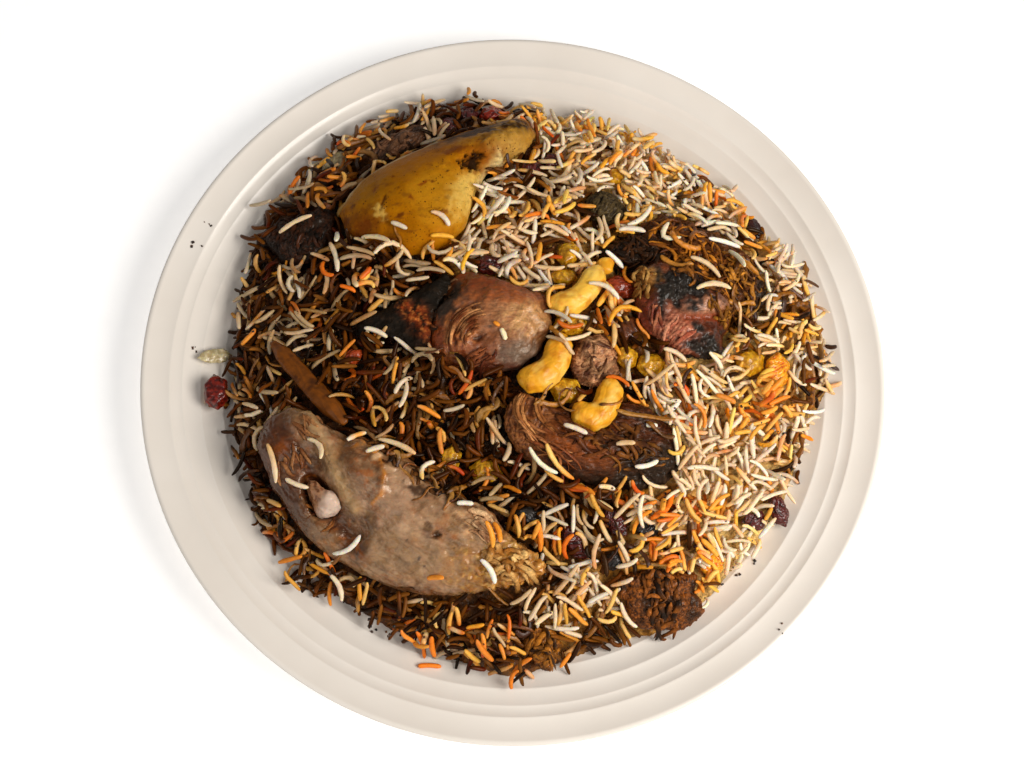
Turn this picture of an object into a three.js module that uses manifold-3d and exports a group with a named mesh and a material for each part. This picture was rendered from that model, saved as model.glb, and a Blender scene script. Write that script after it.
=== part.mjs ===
import * as THREE from "three";
import { mergeVertices } from "three/addons/utils/BufferGeometryUtils.js";
import Module from "manifold-3d";

// Lamb zurbian on a round fluted plate: the plate, the spiced rice heap, the lamb, the potato
// and the larger nuts and fruit on it. Millimetres, +Z up, origin under the plate's centre.

const wasm = await Module();
wasm.setup();

// Gap kept between neighbouring pieces
const GAP = 0.4;

// Plate: rim, flat well, flute crests and foot ring
const PLATE_RADIUS = 160;
const PLATE_SIDES = 48;
const WELL_HEIGHT = 7;
const WELL_RADIUS = 117.4;
const CRESTS = [[119.9, 8.5], [126, 11], [135, 14.5], [142.6, 17], [147.7, 19]];
const RIM_HEIGHT = 22;
const PLATE_THICKNESS = 3.9;
const WELL_UNDERSIDE = 2.4;
const FOOT_OUTER = 93;
const FOOT_INNER = 87;

// Rice heap: outline radius every ten degrees from +X, crown height, grain size
const HEAP_OUTLINE = [
  135.4, 135.1, 134, 129.7, 127.6, 125, 126.5, 125.5, 124.5, 127.5, 130.5, 132.3,
  132.7, 132.4, 131.1, 129, 124.3, 121.3, 119.5, 121.5, 119.8, 120.5, 119.3, 119.5,
  119.3, 119.2, 124.6, 129, 123.2, 120.7, 124.9, 125.5, 123.4, 126.9, 126.3, 128.1,
];
const HEAP_CROWN = 46;
const HEAP_EDGE = 5;
const HEAP_RINGS = 17;
const GRAIN_LENGTH = 11;
const GRAIN_RADIUS = 1.15;
const TOP_GRAINS = 22;
const EDGE_GRAINS = 28;

// Seeded random numbers, so that every build gives the same heap
let seed = 20731;
function random() {
  seed = (seed * 48271) % 2147483647;
  return seed / 2147483647;
}

const between = (low, high) => low + (high - low) * random();
const hill = (x, y, cx, cy, wide, high) => high * Math.exp(-((x - cx) ** 2 + (y - cy) ** 2) / wide ** 2);

// Height of a rounded ridge (or, with a negative height, a groove) along a line
function ridge(x, y, [x0, y0], [x1, y1], wide, high) {
  const along = ((x - x0) * (x1 - x0) + (y - y0) * (y1 - y0)) / ((x1 - x0) ** 2 + (y1 - y0) ** 2);
  const t = THREE.MathUtils.clamp(along, 0, 1);
  const away = Math.hypot(x - x0 - t * (x1 - x0), y - y0 - t * (y1 - y0));
  return high * Math.exp(-((away / wide) ** 2));
}

// Fibres of cooked meat: waves across a direction, bent a little along it
function fibres(x, y, degrees, spacing, high) {
  const angle = THREE.MathUtils.degToRad(degrees);
  const across = y * Math.cos(angle) - x * Math.sin(angle);
  const along = x * Math.cos(angle) + y * Math.sin(angle);
  return high * Math.sin((2 * Math.PI * across) / spacing + 1.3 * Math.sin(along / (1.7 * spacing)));
}

// Highest level of the plate under the food, one straight slope from crest to crest
function plateLevel(radius) {
  const line = [[0, WELL_HEIGHT], [WELL_RADIUS, WELL_HEIGHT], ...CRESTS, [PLATE_RADIUS, RIM_HEIGHT]];
  const outer = Math.max(1, line.findIndex(([r]) => r >= radius));
  const [r0, z0] = line[outer - 1];
  const [r1, z1] = line[outer];
  return z0 + ((z1 - z0) * (radius - r0)) / (r1 - r0);
}

function heapOutline(angle) {
  const turns = ((angle / (2 * Math.PI)) % 1 + 1) % 1;
  const place = turns * HEAP_OUTLINE.length;
  const first = Math.floor(place);
  const mix = (1 - Math.cos(Math.PI * (place - first))) / 2;
  const next = HEAP_OUTLINE[(first + 1) % HEAP_OUTLINE.length];
  return HEAP_OUTLINE[first % HEAP_OUTLINE.length] * (1 - mix) + next * mix;
}

// The smooth mound that all food lies on: a dome with a shoulder towards +X at its middle
function mound(x, y) {
  const outline = heapOutline(Math.atan2(y, x));
  const share = Math.min(1, Math.hypot(x, y) / outline);
  const edge = plateLevel(outline) + HEAP_EDGE;
  return edge + (HEAP_CROWN - edge) * (1 - share ** 2) ** 0.8 + hill(x, y, 22, 4, 32, 6);
}

// Soft unevenness of the rice, before its grain-sized bumps
function swells(x, y) {
  return 1.5 * Math.sin(0.19 * x + 0.11 * y + 1) * Math.sin(0.23 * y - 0.07 * x);
}

function surface(positions, triangles) {
  const geometry = new THREE.BufferGeometry();
  geometry.setAttribute("position", new THREE.Float32BufferAttribute(positions, 3));
  geometry.setIndex(triangles);
  geometry.computeVertexNormals();
  return geometry;
}

// A solid from a closed geometry: shared vertices merged, collapsed triangles left out
function solidOf(geometry) {
  const bare = geometry.clone();
  bare.deleteAttribute("normal");
  bare.deleteAttribute("uv");
  const merged = mergeVertices(bare, 1e-4);
  const kept = [];
  for (let i = 0; i < merged.index.count; i += 3) {
    const [a, b, c] = [0, 1, 2].map((k) => merged.index.getX(i + k));
    if (a !== b && b !== c && c !== a) kept.push(a, b, c);
  }
  const vertProperties = new Float32Array(merged.attributes.position.array);
  return new wasm.Manifold(new wasm.Mesh({ numProp: 3, vertProperties, triVerts: new Uint32Array(kept) }));
}

function geometryOf(solid) {
  const mesh = solid.getMesh();
  return surface(Array.from(mesh.vertProperties), Array.from(mesh.triVerts));
}

// The same closed surface moved outwards by the gap
function swollen(geometry, by = 1.2 * GAP) {
  const copy = geometry.clone();
  const place = copy.attributes.position;
  const normal = copy.attributes.normal;
  for (let i = 0; i < place.count; i += 1) {
    place.setXYZ(
      i,
      place.getX(i) + by * normal.getX(i),
      place.getY(i) + by * normal.getY(i),
      place.getZ(i) + by * normal.getZ(i),
    );
  }
  return solidOf(copy);
}

// The largest body of a solid, leaving out the scraps cut loose
const largest = (solid) => solid.decompose().reduce((a, b) => (b.volume() > a.volume() ? b : a));

// The plane that a stiff piece lies in: the mound's own slope at its middle, raised a little
function lying([cx, cy], raised, reach = 14) {
  const slopeX = (mound(cx + reach, cy) - mound(cx - reach, cy)) / (2 * reach);
  const slopeY = (mound(cx, cy + reach) - mound(cx, cy - reach)) / (2 * reach);
  const level = mound(cx, cy) + raised;
  return (x, y) => level + slopeX * (x - cx) + slopeY * (y - cy);
}

// A rounded piece over a smooth closed outline: domed above and below the plane it lies in,
// with relief on top. Blunt is the power of the dome, higher for steeper sides.
function lump({ outline, raised = 0, level, rise, sink, around, rings, blunt = 2, relief = () => 0 }) {
  const corners = outline.map(([x, y]) => new THREE.Vector3(x, y, 0));
  if (THREE.ShapeUtils.area(corners) < 0) corners.reverse();
  const rim = new THREE.CatmullRomCurve3(corners, true).getSpacedPoints(around).slice(0, around);
  const middle = rim.reduce((sum, p) => sum.add(p), new THREE.Vector3()).divideScalar(around);
  const plane = level ?? lying([middle.x, middle.y], raised);
  const positions = [];
  const triangles = [];
  const dome = (share) => Math.max(0, 1 - share ** blunt) ** 0.5;
  const place = (share, k, side) => {
    const x = middle.x + share * (rim[k].x - middle.x);
    const y = middle.y + share * (rim[k].y - middle.y);
    const lift = side > 0 ? rise * dome(share) + relief(x, y) * (1 - share ** 4) : -sink * dome(share);
    positions.push(x, y, plane(x, y) + lift);
  };
  const share = (ring, total) => Math.sin((Math.PI / 2) * (ring / total));
  for (let ring = rings; ring > 0; ring -= 1) {
    for (let k = 0; k < around; k += 1) place(share(ring, rings), k, 1);
  }
  place(0, 0, 1);
  const top = rings * around;
  const lower = 2;
  for (let ring = lower - 1; ring > 0; ring -= 1) {
    for (let k = 0; k < around; k += 1) place(share(ring, lower), k, -1);
  }
  place(0, 0, -1);
  const bottom = positions.length / 3 - 1;
  for (let k = 0; k < around; k += 1) {
    const n = (k + 1) % around;
    for (let ring = 0; ring < rings - 1; ring += 1) {
      const [a, b] = [ring * around + k, ring * around + n];
      triangles.push(a, b, b + around, a, b + around, a + around);
    }
    triangles.push((rings - 1) * around + k, (rings - 1) * around + n, top);
    let [a, b] = [k, n];
    for (let ring = 0; ring < lower - 1; ring += 1) {
      const [c, d] = [top + 1 + ring * around + k, top + 1 + ring * around + n];
      triangles.push(b, a, c, b, c, d);
      [a, b] = [c, d];
    }
    triangles.push(b, a, bottom);
  }
  return surface(positions, triangles);
}

// A thin leathery piece: two wavy faces a thickness apart, meeting at a thin edge
function sheet({ outline, thick, level }) {
  return lump({ outline, level, rise: thick / 2, sink: thick / 2, around: 20, rings: 2, blunt: 8 });
}

// A bent tapered bar of oval section through its axis points, closed by shrinking ends
function bar({ axis, wide, high, sides, steps, fat = () => 1 }) {
  const curve = new THREE.CatmullRomCurve3(axis.map((p) => new THREE.Vector3(...p)));
  const up = new THREE.Vector3(0, 0, 1);
  const positions = [];
  const triangles = [];
  for (let step = 0; step <= steps; step += 1) {
    const t = step / steps;
    const centre = curve.getPointAt(t);
    const side = new THREE.Vector3().crossVectors(up, curve.getTangentAt(t)).normalize();
    const over = new THREE.Vector3().crossVectors(curve.getTangentAt(t), side);
    const size = fat(t) * Math.max(0.45, (1 - (2 * t - 1) ** 6) ** 0.5);
    for (let k = 0; k < sides; k += 1) {
      const angle = (2 * Math.PI * k) / sides;
      const point = centre.clone();
      point.addScaledVector(side, (size * wide * Math.cos(angle)) / 2);
      point.addScaledVector(over, (size * high * Math.sin(angle)) / 2);
      positions.push(point.x, point.y, point.z);
    }
  }
  const ends = [0, 1].map((t) => {
    const tip = curve.getPointAt(t).addScaledVector(curve.getTangentAt(t), (t - 0.5) * 0.3 * high);
    positions.push(tip.x, tip.y, tip.z);
    return positions.length / 3 - 1;
  });
  for (let k = 0; k < sides; k += 1) {
    const n = (k + 1) % sides;
    for (let step = 0; step < steps; step += 1) {
      const [a, b] = [step * sides + k, step * sides + n];
      triangles.push(a, b, b + sides, a, b + sides, a + sides);
    }
    triangles.push(ends[0], n, k, ends[1], steps * sides + k, steps * sides + n);
  }
  return surface(positions, triangles);
}

// A dried fruit: an oval with soft folds, turned in plan, its underside in the rice
function raisin({ at: [cx, cy], size: [long, wide, high], turn, raised = 0.28, level }) {
  const geometry = new THREE.SphereGeometry(1, 6, 4).rotateX(Math.PI / 2);
  geometry.deleteAttribute("uv");
  geometry.deleteAttribute("normal");
  const merged = mergeVertices(geometry, 1e-4);
  const place = merged.attributes.position;
  const angle = THREE.MathUtils.degToRad(turn);
  const plane = level ?? lying([cx, cy], raised * high, 6);
  for (let i = 0; i < place.count; i += 1) {
    const [u, v, w] = [place.getX(i), place.getY(i), place.getZ(i)];
    const fold = 1 + 0.07 * Math.sin(3.1 * u + 5 * v + cx) + 0.06 * Math.sin(6 * w - 2 * v + cy);
    const [a, b] = [(u * fold * long) / 2, (v * fold * wide) / 2];
    const x = cx + a * Math.cos(angle) - b * Math.sin(angle);
    const y = cy + a * Math.sin(angle) + b * Math.cos(angle);
    place.setXYZ(i, x, y, plane(x, y) + (w * fold * high) / 2);
  }
  merged.computeVertexNormals();
  return merged;
}

// One grain of rice: a five-sided spindle between two points
function grain([x0, y0, z0], [x1, y1, z1], radius = GRAIN_RADIUS) {
  const [a, b] = [new THREE.Vector3(x0, y0, z0), new THREE.Vector3(x1, y1, z1)];
  const along = b.clone().sub(a).normalize();
  const side = new THREE.Vector3().crossVectors(new THREE.Vector3(0, 0, 1), along).normalize();
  const over = new THREE.Vector3().crossVectors(along, side);
  const positions = [x0, y0, z0];
  const triangles = [];
  const stations = [[0.16, 0.8], [0.5, 1], [0.84, 0.8]];
  for (const [t, share] of stations) {
    for (let k = 0; k < 5; k += 1) {
      const point = a.clone().lerp(b, t);
      point.addScaledVector(side, radius * share * Math.cos(1.2566 * k));
      point.addScaledVector(over, radius * share * Math.sin(1.2566 * k));
      positions.push(point.x, point.y, point.z);
    }
  }
  positions.push(x1, y1, z1);
  for (let k = 0; k < 5; k += 1) {
    const n = (k + 1) % 5;
    triangles.push(0, 1 + n, 1 + k, 16, 11 + k, 11 + n);
    for (const ring of [1, 6]) {
      triangles.push(ring + k, ring + n, ring + n + 5, ring + k, ring + n + 5, ring + k + 5);
    }
  }
  return surface(positions, triangles);
}

// Plate, turned about Z: flat well, concave flutes between crests, smooth band, lip, foot ring
function plateProfile() {
  const profile = [[0, WELL_HEIGHT], [WELL_RADIUS, WELL_HEIGHT]];
  CRESTS.forEach(([radius, height], i) => {
    profile.push([radius, height]);
    const [nextRadius, nextHeight] = CRESTS[i + 1] ?? [PLATE_RADIUS, RIM_HEIGHT];
    const [width, climb] = [nextRadius - radius, nextHeight - height];
    profile.push([radius + 0.16 * width, height - 0.3], [radius + 0.66 * width, height + 0.28 * climb]);
  });
  const underside = CRESTS.map(([radius, height]) => [radius + 1, height - PLATE_THICKNESS]).reverse();
  profile.push([PLATE_RADIUS - 1.4, RIM_HEIGHT], [PLATE_RADIUS, RIM_HEIGHT - 1.1]);
  profile.push([PLATE_RADIUS - 1.2, RIM_HEIGHT - 2.6], ...underside.slice(0, -1));
  profile.push([WELL_RADIUS - 3, WELL_UNDERSIDE + 0.6], [FOOT_OUTER + 1, WELL_UNDERSIDE]);
  profile.push([FOOT_OUTER, 0], [FOOT_INNER, 0], [FOOT_INNER - 1.5, WELL_UNDERSIDE], [0, WELL_UNDERSIDE]);
  return profile.reverse();
}

// The space that the plate and its gap take up, to cut the food's underside
function plateSpace() {
  const top = [[WELL_RADIUS, WELL_HEIGHT], ...CRESTS, [PLATE_RADIUS + 4, RIM_HEIGHT]];
  const raised = top.map(([radius, height]) => [radius - 0.5, height + GAP]).reverse();
  return [[0, -5], [PLATE_RADIUS + 4, -5], ...raised, [0, WELL_HEIGHT + GAP]];
}

function turned(profile) {
  const points = profile.map(([radius, height]) => new THREE.Vector2(radius, height));
  return new THREE.LatheGeometry(points, PLATE_SIDES).rotateX(Math.PI / 2);
}

// Larger pieces, those that lie uppermost first; each is cut clear of the ones before it
const pieces = [];
function add(name, colour, roughness, geometry) {
  pieces.push({ name, colour, roughness, geometry });
}

// Cashews: curved nuts, fat at one end
const nutFat = (t) => 0.74 + 0.3 * Math.cos(2.2 * t) ** 2 + 0.12 * t;
const NUT_FLATNESS = 0.78;
const cashews = [
  ["cashew_top", 12.4, [[14.5, 20.5, 54.5], [22, 20, 55], [29, 25, 55], [33, 32, 54], [35, 37, 53]]],
  ["cashew_middle", 14, [[2, -12.5, 55.5], [8, -13.5, 56], [15, -9, 56], [18, -1, 56], [18.5, 6, 55]]],
  ["cashew_lower", 13.6, [[25.5, -24.5, 54], [30, -29.5, 53], [36, -27, 53], [39, -20, 53], [39.5, -13, 53]]],
  ["cashew_half", 8, [[38, 43, 47], [38.5, 40, 48], [38, 36.5, 48.5]]],
];
for (const [name, wide, axis] of cashews) {
  add(name, 0xe0a040, 0.35, bar({ axis, wide, high: NUT_FLATNESS * wide, sides: 8, steps: 7, fat: nutFat }));
}

// Golden raisins
const goldenRaisins = [
  ["golden_raisin_1", [22.5, 46], [14, 11, 10], 80],
  ["golden_raisin_2", [20.5, 34.5], [14, 9, 8], -10],
  ["golden_raisin_3", [22.5, 11], [16.5, 11, 9], 15],
  ["golden_raisin_4", [21, -17], [15, 12, 9], -10],
  ["golden_raisin_5", [47, -1.5], [12, 10, 8], 80],
  ["golden_raisin_6", [57, -4], [14, 11, 9], 10],
  ["golden_raisin_7", [100, 1], [14, 13, 9], 30],
  ["golden_raisin_8", [112, -1.5], [17, 12, 9], 85],
  ["golden_raisin_9", [-27, -45], [14, 10, 7], 78],
  ["golden_raisin_10", [-12, -49.5], [15, 11, 7], -12],
  ["golden_raisin_11", [83, -84], [13, 10, 7], 25],
  ["golden_raisin_12", [44, 88.5], [11, 9, 7], 60],
];
for (const [name, at, size, turn] of goldenRaisins) add(name, 0xc88a1c, 0.25, raisin({ at, size, turn }));

// Red and dark raisins; the left one lies on the plate beside the heap
add("red_raisin_left", 0x7c1a10, 0.25, raisin({
  at: [-127.5, -8], size: [17, 12, 9], turn: 100, level: () => plateLevel(134) + 5,
}));
const darkRaisins = [
  ["red_raisin_far", [-9.9, 121], [12, 11, 9], 20],
  ["dark_raisin_1", [-29, 113.5], [11, 10, 8], 70],
  ["dark_raisin_2", [-20.5, 121], [10, 8, 7], 0],
  ["dark_raisin_3", [-11, 40.5], [13, 10, 8], -20],
  ["dark_raisin_4", [24.5, -78], [18, 8, 7], -52],
  ["dark_raisin_5", [41.5, -69], [15, 8, 7], -50],
  ["dark_raisin_6", [112, -59.5], [14, 9, 8], -60],
  ["dark_raisin_7", [101.5, -65], [13, 8, 7], 10],
  ["dark_raisin_8", [79.5, -76.5], [10, 7, 6], 5],
  ["dark_raisin_9", [6.5, 90], [12, 9, 8], 20],
  ["dark_raisin_10", [16.5, 95.5], [9, 8, 7], 60],
];
for (const [name, at, size, turn] of darkRaisins) add(name, 0x3c1410, 0.3, raisin({ at, size, turn }));

// Black spice berries and burnt scraps
const burntScraps = [
  ["black_spice_1", [54.7, -72], [11, 7, 6], -5],
  ["black_spice_2", [4.8, -68.5], [13, 9, 6], 15],
  ["black_spice_3", [41, -85], [9, 8, 6], 40],
  ["burnt_scrap_far", [5.5, 122.5], [13, 5.5, 5], -18],
  ["burnt_scrap_right", [105.5, 69], [13, 8, 6], -62],
];
for (const [name, at, size, turn] of burntScraps) add(name, 0x14100e, 0.55, raisin({ at, size, turn }));

// Tomato and glazed onion
const softPieces = [
  ["tomato_piece_1", 0x8e3014, [45.5, 31.5], [17, 11, 7], -20],
  ["tomato_piece_2", 0xa03c12, [-68.5, 1.5], [10, 9, 6], 30],
  ["tomato_piece_3", 0x6e2410, [-107, -53], [11, 7, 5], 20],
  ["glazed_onion", 0x3c1c0c, [48, 11.5], [13, 11, 6], 70],
];
for (const [name, colour, at, size, turn] of softPieces) {
  add(name, colour, 0.25, raisin({ at, size, turn }));
}

// Potato: a fat peeled wedge on the far side, round at its left end, tapering to the right
add("potato_wedge", 0xc88a30, 0.4, lump({
  outline: [
    [-76, 64], [-71, 77], [-60, 87], [-43, 96.5], [-25, 105], [-8, 110], [6, 113], [9.5, 107],
    [5, 99], [-4, 93.5], [-12, 85], [-17.5, 71], [-20.5, 57.5], [-31, 46.5], [-46, 43], [-62, 49],
    [-73, 55.5],
  ],
  raised: 5, rise: 15.5, sink: 13, around: 24, rings: 5, blunt: 2.3,
  relief: (x, y) => hill(x, y, -17, 87, 4.5, -5) + ridge(x, y, [-19, 60], [-6, 92], 7, 1.6)
    + hill(x, y, -48, 70, 18, 1.5),
}));

// The leathery skin flap at the left of the middle piece of lamb
add("lamb_skin_flap", 0x2a1a12, 0.35, sheet({
  outline: [
    [-68, 17], [-57, 21.5], [-46, 25.5], [-36, 32], [-27, 37], [-26, 30], [-32, 20],
    [-34.5, 9], [-36, -1], [-46, 4.5], [-57.5, 8], [-69, 10],
  ],
  thick: 3,
  level: (x, y) => mound(x, y) + 3.4 + 0.09 * (x + 68) + 1.1 * Math.sin(0.34 * x + 0.2 * y),
}));

// Lamb: the smooth middle piece, its fibres curled at the left
add("lamb_middle", 0x8a5a44, 0.35, lump({
  outline: [
    [-25, 36], [-12, 35.5], [1, 29], [12, 25], [15, 12], [12, 2], [2, -7], [-12, -9.5],
    [-26, -7], [-36, -2], [-37, 9], [-34, 22],
  ],
  raised: 1, rise: 13.5, sink: 10, around: 20, rings: 5, blunt: 2.2,
  relief: (x, y) => hill(x, y, -22, 12, 11, -2.5) + fibres(x, y, 62, 15, 1.2) * (x < -10 ? 1 : 0.2)
    + hill(x, y, -4, 22, 14, 2),
}));

// Lamb at the right: a charred pink piece in front, a shredded brown piece behind it
add("lamb_charred", 0x7a4434, 0.4, lump({
  outline: [
    [53, 13], [50, 27], [51, 39], [59, 44.5], [66, 43.5], [76, 43.5], [83, 39], [93, 32],
    [94, 23], [89, 12], [87, 1], [76, -1], [65, 5],
  ],
  raised: 4, rise: 12, sink: 10, around: 22, rings: 5, blunt: 2.3,
  relief: (x, y) => fibres(x, y, 35, 16, 1.4) + ridge(x, y, [78, 26], [92, 24], 5, 3)
    + hill(x, y, 72, 36, 9, 2.5) + ridge(x, y, [66, 12], [86, 16], 3.5, -2.5),
}));
add("lamb_shredded", 0x6b4022, 0.4, lump({
  outline: [
    [39, 49], [51, 58], [64, 68], [80, 64], [94, 58], [104, 47], [109, 32.5], [104, 23],
    [95, 28], [84, 37], [70, 42], [57, 42.5], [46, 43],
  ],
  level: (x, y) => mound(x, y) + 3, rise: 9, sink: 8, around: 22, rings: 4, blunt: 2.2,
  relief: (x, y) => fibres(x, y, -30, 16, 1.6) + hill(x, y, 76, 56, 10, 1.5),
}));

// Lamb in front of the cashews: long dark fibres, curled tan ones at its left end
add("lamb_lower", 0x4e2a18, 0.4, lump({
  outline: [
    [-1, -18], [13, -23.5], [29, -24], [46, -20], [61, -26], [71, -37.5], [69, -49], [57, -56],
    [39, -56], [20, -53], [4, -47], [-4.5, -34],
  ],
  raised: 1.5, rise: 9.5, sink: 10, around: 20, rings: 5, blunt: 2.3,
  relief: (x, y) => fibres(x, y, x < 14 ? 70 : -12, 16, 1.3) + ridge(x, y, [24, -48], [66, -47], 4, 1.5)
    + ridge(x, y, [40, -41], [62, -40], 4, -2),
}));

// The big lamb joint at the lower left: a smaller lobe beyond the groove that holds the knuckle
add("joint_knuckle", 0xd8b9a4, 0.3, lump({
  outline: [
    [-88.5, -53], [-84, -50.5], [-79, -54], [-73.5, -59.5], [-71, -64.5], [-76, -68.5],
    [-83.5, -66.5], [-87, -59],
  ],
  raised: 11, rise: 7.5, sink: 5, around: 12, rings: 4,
  relief: (x, y) => hill(x, y, -76, -63, 4, 1.6),
}));
add("lamb_joint", 0xa07c66, 0.3, lump({
  outline: [
    [-105, -24], [-92, -21], [-80, -29], [-66, -36], [-55, -38.5], [-42, -47], [-30, -57.5],
    [-12, -66], [-5, -75], [3, -82], [12, -86], [13, -92], [3, -97], [-13, -100], [-34, -100],
    [-54, -95], [-77, -82], [-93, -67], [-103, -49], [-108.5, -35],
  ],
  raised: 3.5, rise: 14, sink: 11, around: 26, rings: 5, blunt: 2.5,
  relief: (x, y) => ridge(x, y, [-84, -38], [-68, -76], 7.5, -8) + ridge(x, y, [-80, -32], [-64, -62], 6, 2)
    + hill(x, y, -56, -50, 7, 3) + fibres(x, y, -38, 22, 0.9) + ridge(x, y, [-20, -72], [2, -90], 4, -1.6),
}));

// The rib bone, running from the heap's left edge to the joint
add("rib_bone", 0x9a6a3c, 0.45, bar({
  axis: [[-103, 10, 33], [-95, 0, 36.5], [-85, -12.5, 39.5], [-76, -22.5, 41.5], [-70.5, -29, 42.5]],
  wide: 9.6, high: 6.2, sides: 7, steps: 6, fat: (t) => 0.86 + 0.2 * t,
}));

// Smaller pieces of lamb
add("lamb_chunk", 0x8c6450, 0.45, lump({
  outline: [[24, 1], [30, 8], [39, 6.5], [44, -3], [42, -10.5], [33, -15.5], [25.5, -12.5], [22.5, -5]],
  raised: -0.5, rise: 7, sink: 5, around: 14, rings: 3, relief: (x, y) => fibres(x, y, 20, 12, 1.2),
}));
add("dried_lime", 0x3a2c1c, 0.6, lump({
  outline: [[31, 75], [38, 79.5], [46, 74], [50, 68], [45, 63], [37, 62.5], [31, 66.5]],
  raised: 1, rise: 7, sink: 5, around: 14, rings: 3, relief: (x, y) => fibres(x, y, 50, 13, 0.9),
}));
add("lamb_front_right", 0x4a2a1a, 0.45, lump({
  outline: [
    [42, -93.5], [52, -88], [63, -89], [77, -88], [75, -95.5], [81, -101.5], [74, -108.5],
    [61, -111], [49, -109.5], [45.5, -102],
  ],
  raised: 1, rise: 8, sink: 7, around: 18, rings: 4, relief: (x, y) => fibres(x, y, -80, 14, 1.3),
}));
add("lamb_shred_front", 0x5e3216, 0.5, lump({
  outline: [[8, -111], [18.5, -114], [18.5, -123], [14, -129.5], [8.5, -125], [3.5, -118]],
  raised: 2, rise: 4, sink: 4, around: 12, rings: 3, relief: (x, y) => fibres(x, y, 70, 11, 0.9),
}));
add("lamb_behind_potato", 0x5c4038, 0.4, lump({
  outline: [
    [-65, 97.5], [-60, 106], [-50, 112], [-42, 115.5], [-37, 112], [-42, 103], [-54, 96], [-61, 93],
  ],
  raised: 0.5, rise: 6.5, sink: 6, around: 14, rings: 3, relief: (x, y) => fibres(x, y, 35, 13, 0.7),
}));
add("lamb_dark_left", 0x241611, 0.4, lump({
  outline: [[-109, 64], [-100, 70], [-90, 69], [-81, 76], [-77, 66], [-79, 54], [-90, 45], [-101, 49]],
  raised: 1, rise: 7.5, sink: 7, around: 14, rings: 3, relief: (x, y) => fibres(x, y, 60, 15, 1.2),
}));

// Onion: pale petals at the heap's edge and browned strips at its right
add("onion_petal_left", 0xd8c9a0, 0.3, raisin({
  at: [-129, 9.5], size: [17, 8, 3.2], turn: 12, level: (x, y) => plateLevel(Math.hypot(x, y)) + 2.9,
}));
add("onion_petal_far", 0xe0d2a2, 0.3, raisin({ at: [15, 109.5], size: [15, 12, 5], turn: 20 }));
add("onion_petal_behind", 0xd2c08e, 0.3, raisin({ at: [-78.5, 98], size: [16, 9, 5], turn: 35 }));
add("fried_onion_1", 0x8e5418, 0.45, bar({
  axis: [[119, 27, 24], [123, 33, 26], [127.5, 30, 25], [128, 22, 23], [124.5, 17, 24]],
  wide: 6, high: 3.4, sides: 5, steps: 7,
}));
add("fried_onion_2", 0x8a4c16, 0.45, bar({
  axis: [[123.5, 6, 26], [126, -1, 26], [127, -9, 25.5], [126, -17, 24]],
  wide: 5, high: 3, sides: 5, steps: 5,
}));

// Each piece cut clear of the plate and of the pieces above it
const plateCutter = solidOf(turned(plateSpace()));
const clearances = [];
const group = new THREE.Group();

function place(name, colour, roughness, geometry) {
  const material = new THREE.MeshStandardMaterial({ color: colour, roughness, metalness: 0 });
  const mesh = new THREE.Mesh(geometry, material);
  mesh.name = name;
  group.add(mesh);
}

place("plate", 0xf3ecdc, 0.18, turned(plateProfile()));
for (const { name, colour, roughness, geometry } of pieces) {
  let solid = solidOf(geometry).subtract(plateCutter);
  for (const cutter of clearances) solid = solid.subtract(cutter);
  clearances.push(swollen(geometry));
  place(name, colour, roughness, geometryOf(largest(solid)));
}

// The heap's own body: rings out to the uneven outline, walls down to the plate
function heapBody() {
  const positions = [0, 0, mound(0, 0) + swells(0, 0)];
  const triangles = [];
  const start = (ring) => (ring === 0 ? 0 : 1 + 3 * ring * (ring - 1));
  for (let ring = 1; ring <= HEAP_RINGS; ring += 1) {
    for (let k = 0; k < 6 * ring; k += 1) {
      const angle = (2 * Math.PI * k) / (6 * ring);
      const radius = (heapOutline(angle) * ring) / HEAP_RINGS;
      const [x, y] = [radius * Math.cos(angle), radius * Math.sin(angle)];
      const bump = between(-GRAIN_RADIUS, GRAIN_RADIUS);
      positions.push(x, y, mound(x, y) + swells(x, y) + bump);
      const inner = start(ring - 1);
      const outer = start(ring);
      const [sector, step] = [Math.floor(k / ring), k % ring];
      const innerCount = Math.max(1, 6 * (ring - 1));
      const a = inner + ((sector * (ring - 1) + step) % innerCount);
      const b = outer + k;
      const c = outer + ((k + 1) % (6 * ring));
      triangles.push(a, b, c);
      const nextInner = inner + ((sector * (ring - 1) + step + 1) % innerCount);
      if (step < ring - 1) triangles.push(a, c, nextInner);
    }
  }
  const rim = start(HEAP_RINGS);
  const count = 6 * HEAP_RINGS;
  const foot = positions.length / 3;
  for (let k = 3 * rim; k < 3 * (rim + count); k += 3) positions.push(positions[k], positions[k + 1], 1);
  positions.push(0, 0, 1);
  for (let k = 0; k < count; k += 1) {
    const n = (k + 1) % count;
    triangles.push(rim + k, foot + k, foot + n, rim + k, foot + n, rim + n);
    triangles.push(foot + n, foot + k, foot + count);
  }
  return surface(positions, triangles);
}

// A fused grain is left out where it would reach a piece above the heap
const clear = (solid) => clearances.every((cutter) => solid.intersect(cutter).isEmpty());

let heap = solidOf(heapBody());
for (const cutter of [...clearances, plateCutter]) heap = heap.subtract(cutter);

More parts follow.
